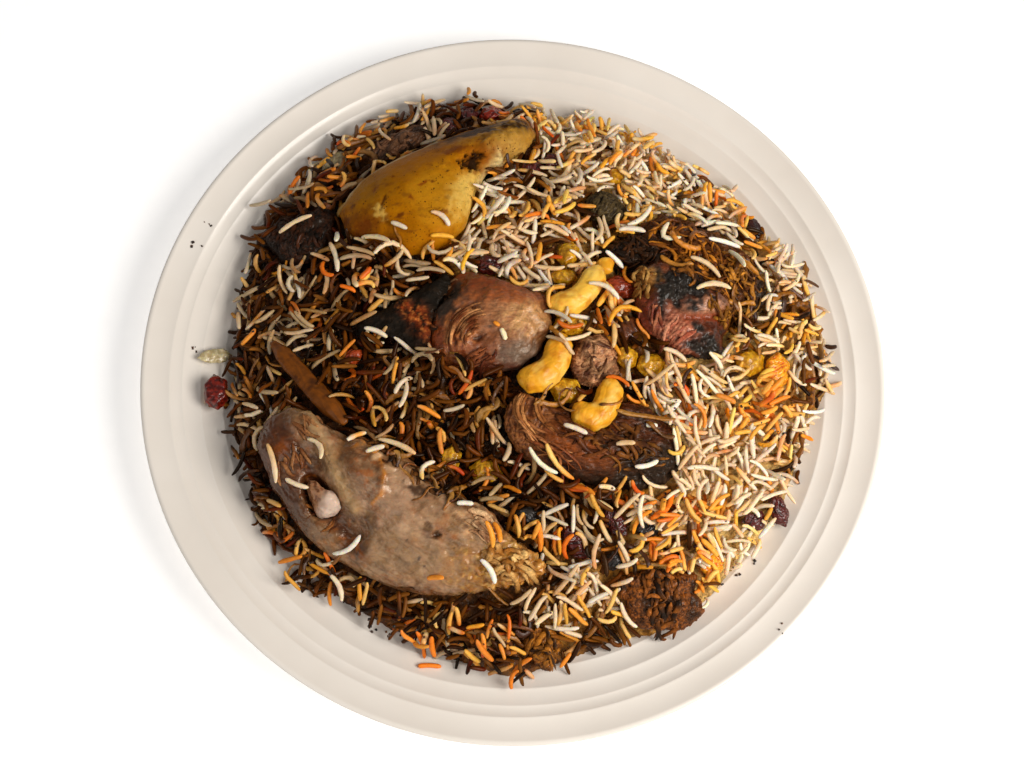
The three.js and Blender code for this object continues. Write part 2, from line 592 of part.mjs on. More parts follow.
// Grains over the top, spread evenly by the golden angle, and grains out over the edge
for (let i = 0; i < TOP_GRAINS; i += 1) {
  const angle = 2.39996 * i;
  const radius = heapOutline(angle) * Math.sqrt((i + 0.5) / TOP_GRAINS) * 0.96;
  const [x, y] = [radius * Math.cos(angle), radius * Math.sin(angle)];
  const turn = between(0, Math.PI);
  const half = GRAIN_LENGTH * between(0.4, 0.55);
  const ends = [-half, half].map((reach) => {
    const [px, py] = [x + reach * Math.cos(turn), y + reach * Math.sin(turn)];
    return [px, py, mound(px, py) + swells(px, py) + between(0.2, 1.8)];
  });
  const piece = solidOf(grain(...ends));
  if (clear(piece) && piece.intersect(plateCutter).isEmpty()) heap = heap.add(piece);
}
for (let i = 0; i < EDGE_GRAINS; i += 1) {
  const angle = (2 * Math.PI * (i + between(-0.3, 0.3))) / EDGE_GRAINS;
  const lean = angle + between(-0.9, 0.9);
  const start = heapOutline(angle) - 3.5;
  const [x, y] = [start * Math.cos(angle), start * Math.sin(angle)];
  const ends = [-2, GRAIN_LENGTH * between(0.65, 0.85)].map((reach) => {
    const [px, py] = [x + reach * Math.cos(lean), y + reach * Math.sin(lean)];
    return [px, py, plateLevel(Math.hypot(px, py)) + GAP + 1.5 * GRAIN_RADIUS + between(0, 1.5)];
  });
  const piece = solidOf(grain(...ends));
  if (clear(piece) && piece.intersect(plateCutter).isEmpty()) heap = heap.add(piece);
}
place("rice_heap", 0xa9803f, 0.55, geometryOf(largest(heap)));

export default group;
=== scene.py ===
import math
from itertools import product

import bpy
import numpy as np
from mathutils import Matrix, Vector
from mathutils.bvhtree import BVHTree


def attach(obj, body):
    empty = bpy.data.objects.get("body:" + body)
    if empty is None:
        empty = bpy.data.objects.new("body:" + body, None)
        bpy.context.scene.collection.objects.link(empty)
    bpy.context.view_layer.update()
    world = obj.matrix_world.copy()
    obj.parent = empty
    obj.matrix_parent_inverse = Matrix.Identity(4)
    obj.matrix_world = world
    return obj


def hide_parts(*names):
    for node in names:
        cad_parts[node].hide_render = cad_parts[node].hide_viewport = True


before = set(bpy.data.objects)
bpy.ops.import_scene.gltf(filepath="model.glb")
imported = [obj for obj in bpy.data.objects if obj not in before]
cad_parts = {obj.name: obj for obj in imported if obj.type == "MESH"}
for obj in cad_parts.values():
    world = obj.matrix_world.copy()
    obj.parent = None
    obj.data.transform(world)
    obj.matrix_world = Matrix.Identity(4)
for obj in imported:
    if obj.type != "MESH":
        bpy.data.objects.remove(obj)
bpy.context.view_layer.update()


# Viewpoint: the plate is looked at from high above its near edge, as when it is set down to be
# served. The long lens keeps the round rim nearly round.
EYE_STANDS = Vector((-0.018493, -0.313890, 0.947887))
LOOKED_AT = Vector((-0.000341, 0.004199, 0))
LENS = 80.04
FILM_WIDE = 36
eye = bpy.data.objects.new("camera", bpy.data.cameras.new("camera"))
bpy.context.scene.collection.objects.link(eye)
eye.data.lens = LENS
eye.data.sensor_width = FILM_WIDE
rightward = Vector((0.99982, 0, 0.01915))
backward = (EYE_STANDS - LOOKED_AT).normalized()
upward = backward.cross(rightward).normalized()
rightward = upward.cross(backward)
turned_to = Matrix((rightward, upward, backward)).transposed().to_4x4()
eye.matrix_world = Matrix.Translation(EYE_STANDS) @ turned_to
bpy.context.scene.camera = eye


# Light: one wide lamp at the right and a little before the plate, a pale fill from the near left,
# and a white room. All three are soft, as in a studio with paper walls.
def lamp(name, place, across, power, colour):
    """A round soft lamp that looks at the plate's middle"""
    light = bpy.data.lights.new(name, "AREA")
    light.shape = "DISK"
    light.size = across
    light.energy = power
    light.color = colour
    holder = bpy.data.objects.new(name, light)
    bpy.context.scene.collection.objects.link(holder)
    holder.location = place
    holder.rotation_euler = (Vector((0, 0, 0)) - Vector(place)).to_track_quat("-Z", "Y").to_euler()


lamp("window_light", (0.58, -0.28, 0.70), 0.58, 8.7, (1.0, 0.955, 0.895))
lamp("left_fill", (-0.6, -0.7, 0.8), 1.0, 3.1, (1.0, 0.97, 0.95))
room = bpy.data.worlds.new("white_room")
room.use_nodes = True
room.node_tree.nodes["Background"].inputs["Color"].default_value = (1.0, 0.985, 0.965, 1)
room.node_tree.nodes["Background"].inputs["Strength"].default_value = 0.2
bpy.context.scene.world = room
bpy.context.scene.view_settings.view_transform = "Standard"


# Table top: a plain pale sheet that the foot of the plate stands on. It is not part of the dish.
def shade(hexadecimal):
    """A colour as a cook would pick it from a chart, turned into amounts of light"""
    parts = [int(hexadecimal[i:i + 2], 16) / 255 for i in (0, 2, 4)]
    return [p / 12.92 if p < 0.04045 else ((p + 0.055) / 1.055) ** 2.4 for p in parts]


class Finish:
    """One surface finish, put together from nodes"""

    def __init__(self, name):
        self.material = bpy.data.materials.new(name)
        self.material.use_nodes = True
        self.tree = self.material.node_tree
        self.skin = self.tree.nodes["Principled BSDF"]

    def node(self, kind, fed=None, **settings):
        """A new node of a kind, with its settings, fed by sockets or values"""
        made = self.tree.nodes.new("ShaderNode" + kind)
        for word, value in settings.items():
            setattr(made, word, value)
        self.feed(made, fed or {})
        return made

    def feed(self, made, fed):
        """Sockets of a node linked to other sockets, or set to values"""
        for socket, value in fed.items():
            into = made.inputs[socket]
            if isinstance(value, bpy.types.NodeSocket):
                self.tree.links.new(value, into)
            else:
                into.default_value = value

    def spot(self, stretch=(1, 1, 1), turn=0):
        """Places on the piece, stretched and turned about the upright axis"""
        origin = self.node("TexCoord").outputs["Object"]
        turned = (0, 0, math.radians(turn))
        return self.node("Mapping", {"Vector": origin, "Rotation": turned, "Scale": stretch}).outputs[0]

    def coat(self):
        """The colour that each corner of the piece carries"""
        return self.node("Attribute", attribute_name="coat").outputs["Color"]

    def cloudy(self, scale, detail=3, rough=0.55, where=None, twist=0):
        """Soft noise, its cells so many to the metre"""
        fed = {"Vector": where or self.spot(), "Scale": scale, "Detail": detail}
        fed.update({"Roughness": rough, "Distortion": twist})
        return self.node("TexNoise", fed).outputs["Fac"]

    def reckon(self, how, first, second):
        """A sum, a product or the like of two amounts"""
        return self.node("Math", {0: first, 1: second}, operation=how).outputs[0]

    def steps(self, value, *stops):
        """A value turned into colours, or into amounts, between stops"""
        ramp = self.node("ValToRGB", {"Fac": value})
        while len(ramp.color_ramp.elements) < len(stops):
            ramp.color_ramp.elements.new(0.5)
        for element, (place, tone) in zip(ramp.color_ramp.elements, stops):
            element.position = place
            element.color = (*(shade(tone) if isinstance(tone, str) else [tone] * 3), 1)
        return ramp.outputs["Color"]

    def mixed(self, amount, first, second, how="MIX"):
        """Two colours or amounts blended, each a socket, a picked colour or a number"""
        blend = self.node("Mix", data_type="RGBA", blend_type=how)
        for socket, value in ((0, amount), (6, first), (7, second)):
            into = blend.inputs[socket]
            if isinstance(value, bpy.types.NodeSocket):
                self.tree.links.new(value, into)
            elif isinstance(value, str):
                into.default_value = (*shade(value), 1)
            elif socket:
                into.default_value = (value, value, value, 1)
            else:
                into.default_value = value
        return blend.outputs[2]

    def relief(self, height, deep, under=None):
        """Low bumps of a finish, so many metres deep, over those under it"""
        fed = {"Height": height, "Distance": deep}
        if under:
            fed["Normal"] = under
        return self.node("Bump", fed).outputs["Normal"]


floor_finish = Finish("table_paper")
fibre_mottle = floor_finish.cloudy(180, 4)
floor_colour = floor_finish.steps(fibre_mottle, (0.3, "fafafa"), (0.7, "ffffff"))
floor_finish.feed(floor_finish.skin, {
    "Base Color": floor_colour,
    "Roughness": floor_finish.steps(fibre_mottle, (0.3, 0.8), (0.7, 0.95)),
    "Normal": floor_finish.relief(fibre_mottle, 0.00005),
    "Emission Color": (1.0, 0.99, 0.98, 1),
    "Emission Strength": 0.4,
})
bpy.ops.object.select_all(action="DESELECT")
bpy.ops.mesh.primitive_plane_add(size=4)
table_top = bpy.context.object
table_top.name = "table_top"
table_top.data.materials.append(floor_finish.material)


# Plate: thick glazed stoneware, warm white, turned on a wheel. Five fluted steps climb from the
# flat well to a smooth band and a rounded lip; underneath it stands on a low unglazed ring.
MM = 0.001
CRESTS = [(119.9, 8.5), (126, 11), (135, 14.5), (142.6, 17), (147.7, 19)]
BAND = (158.2, 21.95)
TREAD_BEND = 1.75
THICK = 3.9
PLATE_SPINS = 192


def upper_face():
    """Middle to lip: each tread starts level and steepens till it breaks over at the next crest"""
    line = [(0.0, 7), (40, 7), (80, 7), (108, 7), (115, 7.03), (117.4, 7.15), (118.9, 7.75)]
    steps = CRESTS + [BAND]
    for (r0, z0), (r1, z1) in zip(steps, steps[1:]):
        for t in (0, 0.05, 0.16, 0.3, 0.45, 0.6, 0.74, 0.86, 0.95):
            line.append((r0 + (r1 - r0) * t, z0 + (z1 - z0) * t ** TREAD_BEND))
    return line + [BAND, (159.1, 21.9), (159.8, 21.5), (160, 20.9)]


def plate_section():
    """The upper face, then round the lip and back under the plate to its ring foot and its middle"""
    section = upper_face() + [(159.8, 20.2), (158.8, 19.4)]
    section += [(r + 1, z - THICK) for r, z in CRESTS[:0:-1]]
    section += [(114.4, 3), (104, 2.5), (94.2, 2.4), (93.4, 1.6), (93, 0.4), (92.6, 0), (87.4, 0)]
    section += [(87, 0.4), (86.4, 1.7), (85.5, 2.4), (60, 2.4), (30, 2.4), (0, 2.4)]
    return section


bpy.ops.object.select_all(action="DESELECT")
bpy.ops.mesh.primitive_plane_add(size=MM)
plate = bpy.context.object
plate.name = "fluted_plate"
bpy.ops.object.mode_set(mode="EDIT")
bpy.ops.mesh.merge(type="CENTER")
plate_line = plate_section()
bpy.ops.transform.translate(value=(0, 0, plate_line[0][1] * MM))
for (r0, z0), (r1, z1) in zip(plate_line, plate_line[1:]):
    move = {"value": ((r1 - r0) * MM, 0, (z1 - z0) * MM)}
    bpy.ops.mesh.extrude_region_move(TRANSFORM_OT_translate=move)
bpy.ops.mesh.select_all(action="SELECT")
bpy.ops.mesh.spin(steps=PLATE_SPINS, angle=2 * math.pi, center=(0, 0, 0), axis=(0, 0, 1))
bpy.ops.mesh.select_all(action="SELECT")
bpy.ops.mesh.remove_doubles(threshold=0.00002)
bpy.ops.mesh.normals_make_consistent(inside=False)
bpy.ops.object.mode_set(mode="OBJECT")
bpy.ops.object.shade_smooth()

glaze = Finish("warm_white_glaze")
glaze_drift = glaze.cloudy(22, 3)
glaze_ripple = glaze.cloudy(90, 2)
height_of_spot = glaze.node("SeparateXYZ", {"Vector": glaze.spot()}).outputs["Z"]
foot_bare = glaze.steps(height_of_spot, (0.0006, 1.0), (0.0012, 0.0))
glaze_colour = glaze.steps(glaze_drift, (0.3, "ebe3d9"), (0.7, "f2ebe2"))
glaze.feed(glaze.skin, {
    "Base Color": glaze.mixed(foot_bare, glaze_colour, "cbb89c"),
    "Roughness": glaze.mixed(foot_bare, glaze.steps(glaze_ripple, (0.3, 0.16), (0.7, 0.24)), 0.8),
    "Specular IOR Level": 0.45,
    "Normal": glaze.relief(glaze_ripple, 0.00006),
})
plate.data.materials.append(glaze.material)
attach(plate, "root")
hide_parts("plate")


def plate_level(reach):
    """Height of the plate's upper face, in millimetres, at a distance from its middle"""
    return np.interp(reach, [r for r, _ in upper_face()], [z for _, z in upper_face()])


# Spiced rice, its lower bulk: grains stuck together with dark oil, onion and spice, scooped out
# of the pot on to the plate. Its lumps are pressed grains; the loose ones come on top, later.
CELL = 0.5
ticks = np.arange(-170, 170.01, CELL)
net_x, net_y = np.meshgrid(ticks, ticks)
net_reach = np.hypot(net_x, net_y)


def plumb(mesh):
    """Upper level of a mesh in millimetres over the net of points, minus one hundred beside it"""
    spots = np.empty(len(mesh.vertices) * 3)
    mesh.vertices.foreach_get("co", spots)
    spots = spots.reshape(-1, 3) / MM
    tree = BVHTree.FromPolygons(spots.tolist(), [tuple(p.vertices) for p in mesh.polygons])
    found = np.full(net_x.shape, -100.0)
    low, high = spots.min(0), spots.max(0)
    rows = np.flatnonzero((ticks >= low[1]) & (ticks <= high[1]))
    columns = np.flatnonzero((ticks >= low[0]) & (ticks <= high[0]))
    for i in rows:
        for j in columns:
            at = tree.ray_cast((ticks[j], ticks[i], 100), (0, 0, -1))[0]
            if at:
                found[i, j] = at.z
    return found


def soften(field, reach):
    """A field blurred by two sliding means"""
    wide = int(round(reach / CELL))
    for _ in range(2):
        for axis in (0, 1):
            padded = np.concatenate([field.take([0] * (wide + 1), axis), field,
                                     field.take([-1] * wide, axis)], axis)
            total = padded.cumsum(axis)
            count = 2 * wide + 1
            high = total.take(range(count, total.shape[axis]), axis)
            low = total.take(range(0, total.shape[axis] - count), axis)
            field = (high - low) / count
    return field


def held(value):
    """A value held between 0 and 1"""
    return np.clip(value, 0, 1)


shuffle = np.random.RandomState(11).permutation(256)
slants = np.random.RandomState(12).normal(size=(256, 3))
slants /= np.linalg.norm(slants, axis=1)[:, None]


def cloud(places, size, seed=0, octaves=2):
    """Soft noise, about -1 to 1, over places in millimetres; size may differ by direction"""
    total = 0
    for octave in range(octaves):
        scaled = places * (2 ** octave / np.asarray(size, float)) + seed * 7.31 + octave * 3.7
        cell = np.floor(scaled).astype(int)
        part = scaled - cell
        fade = part ** 3 * (part * (part * 6 - 15) + 10)
        value = 0
        for corner in product((0, 1), repeat=3):
            x, y, z = [(cell[..., i] + corner[i]) & 255 for i in range(3)]
            slant = slants[shuffle[(shuffle[(shuffle[x] + y) & 255] + z) & 255]]
            share = np.prod([fade[..., i] if corner[i] else 1 - fade[..., i] for i in range(3)], 0)
            value = value + share * ((part - np.array(corner)) * slant).sum(-1)
        total = total + value * 1.6 / 2 ** octave
    return total


# Parts of the heap, as it was turned out and topped: middle, reach, cover by loose grains, shares
# of white, yellow, orange and brown ones, onion shreds, how broken it is, and how pale below
HEAP_PARTS = [
    ((8, 60), 16, 1.0, (76, 12, 8, 4), 0.05, 0, 0.6), ((12, 86), 13, 0.85, (56, 8, 14, 22), 0.2, 0.1, 0.2),
    ((26, 76), 11, 0.9, (50, 12, 28, 10), 0.2, 0, 0.5), ((30, 100), 13, 1.0, (74, 20, 5, 1), 0.1, 0.4, 1.0),
    ((58, 88), 14, 1.0, (74, 22, 3, 1), 0.1, 0.6, 1.0), ((80, 76), 13, 1.0, (60, 26, 4, 10), 0.5, 0.5, 0.95),
    ((97, 62), 12, 0.9, (42, 26, 8, 24), 0.9, 0.4, 0.7),
    ((108, 50), 10, 1.0, (58, 22, 10, 10), 0.4, 0.4, 0.7),
    ((120, 36), 11, 0.9, (46, 20, 4, 30), 1.0, 0.4, 0.7), ((112, 16), 12, 1.0, (56, 30, 5, 9), 0.4, 0.3, 0.8),
    ((124, -4), 10, 0.8, (36, 22, 12, 30), 1.0, 0.2, 0.6), ((112, -14), 9, 1.0, (20, 36, 42, 2), 0.1, 0, 0.8),
    ((38, 58), 11, 0.9, (60, 24, 12, 4), 0.1, 0, 0.6), ((-6, 48), 12, 1.0, (76, 14, 8, 2), 0.1, 0, 0.6),
    ((88, -20), 13, 1.0, (62, 24, 12, 2), 0.1, 0, 0.9), ((84, -40), 15, 1.0, (80, 15, 4, 1), 0.05, 0, 1.0),
    ((104, -42), 12, 1.0, (80, 14, 4, 2), 0.1, 0, 1.0), ((116, -34), 9, 0.9, (66, 16, 2, 16), 0.5, 0.5, 0.9),
    ((72, -60), 12, 1.0, (66, 16, 15, 3), 0.1, 0, 0.75), ((58, -66), 11, 0.9, (66, 14, 15, 5), 0.2, 0, 0.55),
    ((84, -66), 12, 1.0, (82, 12, 5, 1), 0.05, 0, 1.0), ((98, -74), 11, 1.0, (72, 22, 3, 3), 0.1, 0.6, 1.0),
    ((80, -86), 9, 1.0, (26, 44, 26, 4), 0.1, 0.5, 0.8), ((32, -66), 12, 0.9, (46, 14, 24, 16), 0.3, 0, 0.25),
    ((14, -86), 13, 0.9, (54, 16, 16, 14), 0.3, 0, 0.35), ((8, -62), 12, 0.6, (46, 10, 8, 36), 0.3, 0.1, 0.0),
    ((34, -98), 10, 1.0, (68, 14, 12, 6), 0.2, 0.1, 0.6),
    ((22, -112), 11, 0.8, (36, 24, 12, 28), 0.6, 0.1, 0.45),
    ((0, -122), 14, 0.8, (14, 10, 18, 58), 1.0, 0.3, 0.3),
    ((-30, -112), 15, 0.8, (14, 10, 12, 64), 0.7, 0.3, 0.2),
    ((-84, 30), 17, 0.7, (42, 12, 4, 42), 0.3, 0.15, 0.05),
    ((-98, 76), 13, 0.7, (28, 8, 8, 56), 0.5, 0.2, 0.05),
    ((-110, 30), 11, 0.8, (50, 8, 8, 34), 0.4, 0.2, 0.1),
    ((-58, 40), 14, 0.8, (56, 10, 14, 20), 0.3, 0, 0.05), ((-88, 56), 12, 0.3, (30, 4, 6, 60), 0.2, 0.2, 0.0),
    ((-30, 116), 13, 0.8, (26, 14, 20, 40), 0.6, 0.3, 0.2),
    ((-62, 104), 13, 0.8, (30, 14, 8, 48), 0.6, 0.4, 0.3),
    ((-60, -14), 16, 0.7, (48, 12, 8, 32), 0.4, 0, 0.0),
    ((-30, -28), 16, 0.6, (18, 10, 10, 62), 0.4, 0.2, 0.0),
    ((-106, -14), 11, 0.6, (34, 4, 6, 56), 0.6, 0.3, 0.05),
    ((-116, -46), 10, 0.7, (26, 10, 10, 54), 0.9, 0.1, 0.1),
    ((-92, -84), 16, 0.6, (20, 10, 8, 62), 0.9, 0.2, 0.1),
    ((-6, -60), 10, 0.8, (50, 10, 16, 24), 0.2, 0.1, 0.0),
    ((-54, 4), 12, 0.7, (56, 10, 6, 28), 0.2, 0.1, 0.0), ((0, -14), 14, 0.5, (30, 10, 8, 52), 0.3, 0.2, 0.0),
    ((44, 6), 12, 0.9, (56, 24, 12, 8), 0.2, 0, 0.35),
]
part_at = np.array([middle for middle, *_ in HEAP_PARTS], float)
part_reach = np.array([part[1] for part in HEAP_PARTS], float)
part_made = np.array([(part[2], *np.array(part[3]) / sum(part[3]), *part[4:]) for part in HEAP_PARTS])


def here(x, y):
    """What the heap is like at a spot: cover, shares of the four kinds, onion, brokenness, paleness"""
    away = (x - part_at[:, 0]) ** 2 + (y - part_at[:, 1]) ** 2
    weights = np.exp(-away / (2 * (0.62 * part_reach) ** 2)) + 1e-7
    made = (weights[:, None] * part_made).sum(0) / weights.sum()
    return made[0], made[1:5] / made[1:5].sum(), made[5], made[6], made[7]


heap_top = plumb(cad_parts["rice_heap"].data)
plate_top = plate_level(net_reach)
HEAP_STANDS_OVER = 2.4
LOOSE_LAYER = 3.4
HEAP_EDGE = 0.42
THINNEST = 0.6
heap_mask = soften((heap_top > plate_top + HEAP_STANDS_OVER).astype(float), 2.5)
ground = soften(np.maximum(heap_top, plate_top), 2)
ground = ground - LOOSE_LAYER * held(heap_mask * 1.6 - 0.5)
ground = np.where(heap_mask > HEAP_EDGE, np.maximum(ground, plate_top + THINNEST), plate_top)
flat_net = np.stack([net_x, net_y, 0 * net_x], -1)
ground += held(heap_mask * 2 - 1) * 1.3 * cloud(flat_net, 9, 1, 2)

chance = np.random.RandomState(7)


def curl(x, y, turn, length, bend, hook=0.0, stations=9):
    """Middle line of a grain in plan, bent all along and more at one end, and how far along it is"""
    share = np.linspace(-0.5, 0.5, stations)
    heading = turn + bend * share + hook * 2.6 * np.clip(share - 0.12, 0, None)
    heading = (heading[1:] + heading[:-1]) / 2
    step = length / (stations - 1)
    px = np.concatenate([[0], np.cumsum(np.cos(heading))]) * step
    py = np.concatenate([[0], np.cumsum(np.sin(heading))]) * step
    return x + px - px.mean(), y + py - py.mean(), share * length


def look_up(field, x, y):
    """What a field of the net holds at spots of the plan"""
    row = np.clip(np.round((y - ticks[0]) / CELL).astype(int), 0, len(ticks) - 1)
    column = np.clip(np.round((x - ticks[0]) / CELL).astype(int), 0, len(ticks) - 1)
    return field[row, column]


def come_to_rest(field, x, y, along, thick, steepest=0.6):
    """Heights of a stiff grain dropped on the field: it leans on the two supports about its middle"""
    dx, dy = np.gradient(x), np.gradient(y)
    size = np.hypot(dx, dy) + 1e-9
    support = look_up(field, x, y) + thick
    for side in (-0.7, 0.7):
        beside = look_up(field, x - side * thick * dy / size, y + side * thick * dx / size)
        support = np.maximum(support, beside + 0.71 * thick)
    half = len(along) // 2
    behind, ahead = slice(0, half + 1), slice(half, None)
    a, b = along[behind][:, None], along[ahead][None, :]
    span = np.maximum(b - a, 1e-6)
    level = (support[behind][:, None] * b - support[ahead][None, :] * a) / span
    level[-1, 0] = support[half]
    best = np.unravel_index(np.argmax(level), level.shape)
    slope = 0
    if span[best] > 1e-5:
        slope = (support[ahead][best[1]] - support[behind][best[0]]) / span[best]
    slope = float(np.clip(slope, -steepest, steepest))
    return (support - slope * along).max() + slope * along


disc = np.array([(i, j) for i in range(-3, 4) for j in range(-3, 4)])


def press_into(field, x, y, z, thick):
    """The field raised to the upper side of a grain that lies there"""
    fine = np.linspace(0, len(x) - 1, max(12, 4 * len(x)))
    fx, fy, fz = [np.interp(fine, range(len(x)), v) for v in (x, y, z)]
    rows = np.round((fy - ticks[0]) / CELL).astype(int)[:, None] + disc[None, :, 0]
    columns = np.round((fx - ticks[0]) / CELL).astype(int)[:, None] + disc[None, :, 1]
    rows = np.clip(rows, 0, len(ticks) - 1)
    columns = np.clip(columns, 0, len(ticks) - 1)
    away = (ticks[rows] - fy[:, None]) ** 2 + (ticks[columns] - fx[:, None]) ** 2
    ends = 1 - 0.5 * np.abs(fine / (len(x) - 1) * 2 - 1) ** 3
    reach = (thick * ends[:, None]) ** 2
    inside = away < reach
    top = fz[:, None] + np.sqrt(np.maximum(reach - away, 0))
    np.maximum.at(field, (rows[inside], columns[inside]), top[inside])


PRESSED_GRAINS = 3600
inner_cells = np.argwhere(heap_mask > 0.75)
for row, column in inner_cells[chance.randint(len(inner_cells), size=PRESSED_GRAINS)]:
    x, y, along = curl(ticks[column], ticks[row], chance.uniform(0, math.pi), chance.uniform(5, 10),
                       chance.uniform(-1, 1))
    z = look_up(ground, x, y) + chance.uniform(-0.5, 0.5)
    press_into(ground, x, y, z, chance.uniform(0.8, 1.25))

bpy.ops.object.select_all(action="DESELECT")
HEAP_ACROSS = 276
bpy.ops.mesh.primitive_grid_add(x_subdivisions=HEAP_ACROSS, y_subdivisions=HEAP_ACROSS,
                                size=HEAP_ACROSS * MM)
heap_core = bpy.context.object
heap_core.name = "pressed_rice"
spots = np.array([v.co for v in heap_core.data.vertices]) / MM
inside = look_up(heap_mask, spots[:, 0], spots[:, 1]) > HEAP_EDGE
bpy.ops.object.mode_set(mode="EDIT")
bpy.ops.mesh.select_mode(type="FACE")
bpy.ops.mesh.select_all(action="DESELECT")
bpy.ops.object.mode_set(mode="OBJECT")
for face in heap_core.data.polygons:
    face.select = not all(inside[v] for v in face.vertices)
bpy.ops.object.mode_set(mode="EDIT")
bpy.ops.mesh.delete(type="FACE")
bpy.ops.object.mode_set(mode="OBJECT")


def places_of(piece):
    """Corners of a piece in millimetres"""
    flat = np.empty(len(piece.data.vertices) * 3)
    piece.data.vertices.foreach_get("co", flat)
    return flat.reshape(-1, 3) / MM


def put_places(piece, places):
    """Corners of a piece moved to places in millimetres"""
    piece.data.vertices.foreach_set("co", (places * MM).ravel())
    piece.data.update()


spots = places_of(heap_core)
spots[:, 2] = look_up(ground, spots[:, 0], spots[:, 1])
put_places(heap_core, spots)
bpy.ops.object.mode_set(mode="EDIT")
bpy.ops.mesh.select_all(action="DESELECT")
bpy.ops.mesh.select_mode(type="EDGE")
bpy.ops.mesh.select_non_manifold()
bpy.ops.object.mode_set(mode="OBJECT")
chosen = np.array([v.select for v in heap_core.data.vertices])
mask_slope = np.gradient(heap_mask, CELL)
for _ in range(3):
    x, y = spots[chosen, 0], spots[chosen, 1]
    uphill = np.stack([look_up(mask_slope[1], x, y), look_up(mask_slope[0], x, y)], -1)
    short = (HEAP_EDGE - look_up(heap_mask, x, y)) / ((uphill ** 2).sum(1) + 1e-4)
    spots[chosen, :2] += uphill * np.clip(short, -4, 4)[:, None]
spots[chosen, 2] = plate_level(np.hypot(spots[chosen, 0], spots[chosen, 1])) + 0.5
put_places(heap_core, spots)
bpy.ops.object.mode_set(mode="EDIT")
bpy.ops.mesh.extrude_region_move(TRANSFORM_OT_translate={"value": (0, 0, -0.001)})
bpy.ops.object.mode_set(mode="OBJECT")
spots = places_of(heap_core)
chosen = np.array([v.select for v in heap_core.data.vertices])
skirt = spots[chosen] * (0.985, 0.985, 1)
skirt[:, 2] = plate_level(np.hypot(skirt[:, 0], skirt[:, 1])) + 0.05
spots[chosen] = skirt
put_places(heap_core, spots)
bpy.ops.object.mode_set(mode="EDIT")
bpy.ops.mesh.edge_face_add()
bpy.ops.mesh.quads_convert_to_tris()
bpy.ops.mesh.select_all(action="SELECT")
bpy.ops.mesh.normals_make_consistent(inside=False)
bpy.ops.object.mode_set(mode="OBJECT")
bpy.ops.object.shade_smooth()


def tones(count, colour):
    """A coat of one colour for a piece with so many corners"""
    return np.tile(shade(colour), (count, 1))


def wash(coat, amount, colour):
    """A colour laid over the coat where amount is above 0"""
    amount = held(amount)[:, None]
    coat += (np.array(shade(colour)) - coat) * amount


def put_coat(piece, coat, dry=1.0):
    """Colours kept on the corners of a piece, for its finish to read, and how dry it is there"""
    layer = piece.data.color_attributes.new("coat", "FLOAT_COLOR", "POINT")
    dry = np.broadcast_to(dry, len(coat))
    layer.data.foreach_set("color", np.c_[held(coat), dry].ravel())


spots = places_of(heap_core)
paleness = np.array([here(x, y)[4] for x, y in spots[:, :2]])
paleness = held(paleness + 0.2 * cloud(spots, 6, 9, 3))
hollow = look_up(soften(ground, 1.5) - ground, spots[:, 0], spots[:, 1])
coat = tones(len(spots), "1e0c05")
wash(coat, held(0.25 + cloud(spots, 9, 8, 3)) * 0.5, "5a220a")
wash(coat, held(cloud(spots, 3, 7, 2) * 2.5 - 0.6) * 0.7, "8a4a10")
wash(coat, held(paleness / 0.4) * 0.8, "7c4412")
wash(coat, held(paleness / 0.4 - 0.7) * 0.8, "c48222")
wash(coat, held(paleness / 0.4 - 1.3) * 0.9, "e8c478")
# Painted shade: the hollows between the lumps are darkened, near black where the heap is dark and warm brown
# where it is pale.
wash(coat, np.clip(hollow * 0.9, 0, 0.85) * (1 - 0.9 * paleness), "140803")
wash(coat, np.clip(hollow * 0.7, 0, 0.6) * paleness, "c08030")
put_coat(heap_core, coat)

oily = Finish("oiled_pressed_rice")
oily_coat = oily.coat()
lump_tone = oily.cloudy(130, 4, 0.65)
spot_tone = oily.cloudy(520, 4, 0.65)
varied_oil = oily.mixed(0.9, oily_coat, oily.steps(spot_tone, (0.34, 0.45), (0.5, 0.95), (0.68, 1.5)),
                        "MULTIPLY")
oily.feed(oily.skin, {
    "Base Color": oily.mixed(0.8, varied_oil, oily.steps(lump_tone, (0.3, 0.5), (0.65, 1.25)), "MULTIPLY"),
    "Roughness": oily.steps(lump_tone, (0.35, 0.22), (0.65, 0.6)),
    "Normal": oily.relief(spot_tone, 0.0011, oily.relief(lump_tone, 0.0008)),
    "Coat Weight": 0.1,
    "Coat Roughness": 0.14,
    "Specular IOR Level": 0.3,
    "Specular Tint": (1.0, 0.8, 0.6, 1),
})
heap_core.data.materials.append(oily.material)
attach(heap_core, "root")
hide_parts("rice_heap")

# What anything laid on the plate from here on comes to rest on: it is raised by each piece
carried = np.maximum(ground, plate_top)


def drape(x, y, thick, stiff=0.05, highest=4.0):
    """Heights of a limp shred laid along a line of the plan, sagging between what holds it up"""
    support = look_up(carried, x, y) + thick
    rest = support.copy()
    for _ in range(12):
        padded = np.concatenate([[2 * rest[0] - rest[1]], rest, [2 * rest[-1] - rest[-2]]])
        rest = np.maximum(support, (padded[:-2] + padded[2:]) / 2 - stiff)
    return np.minimum(rest, support.mean() + highest)


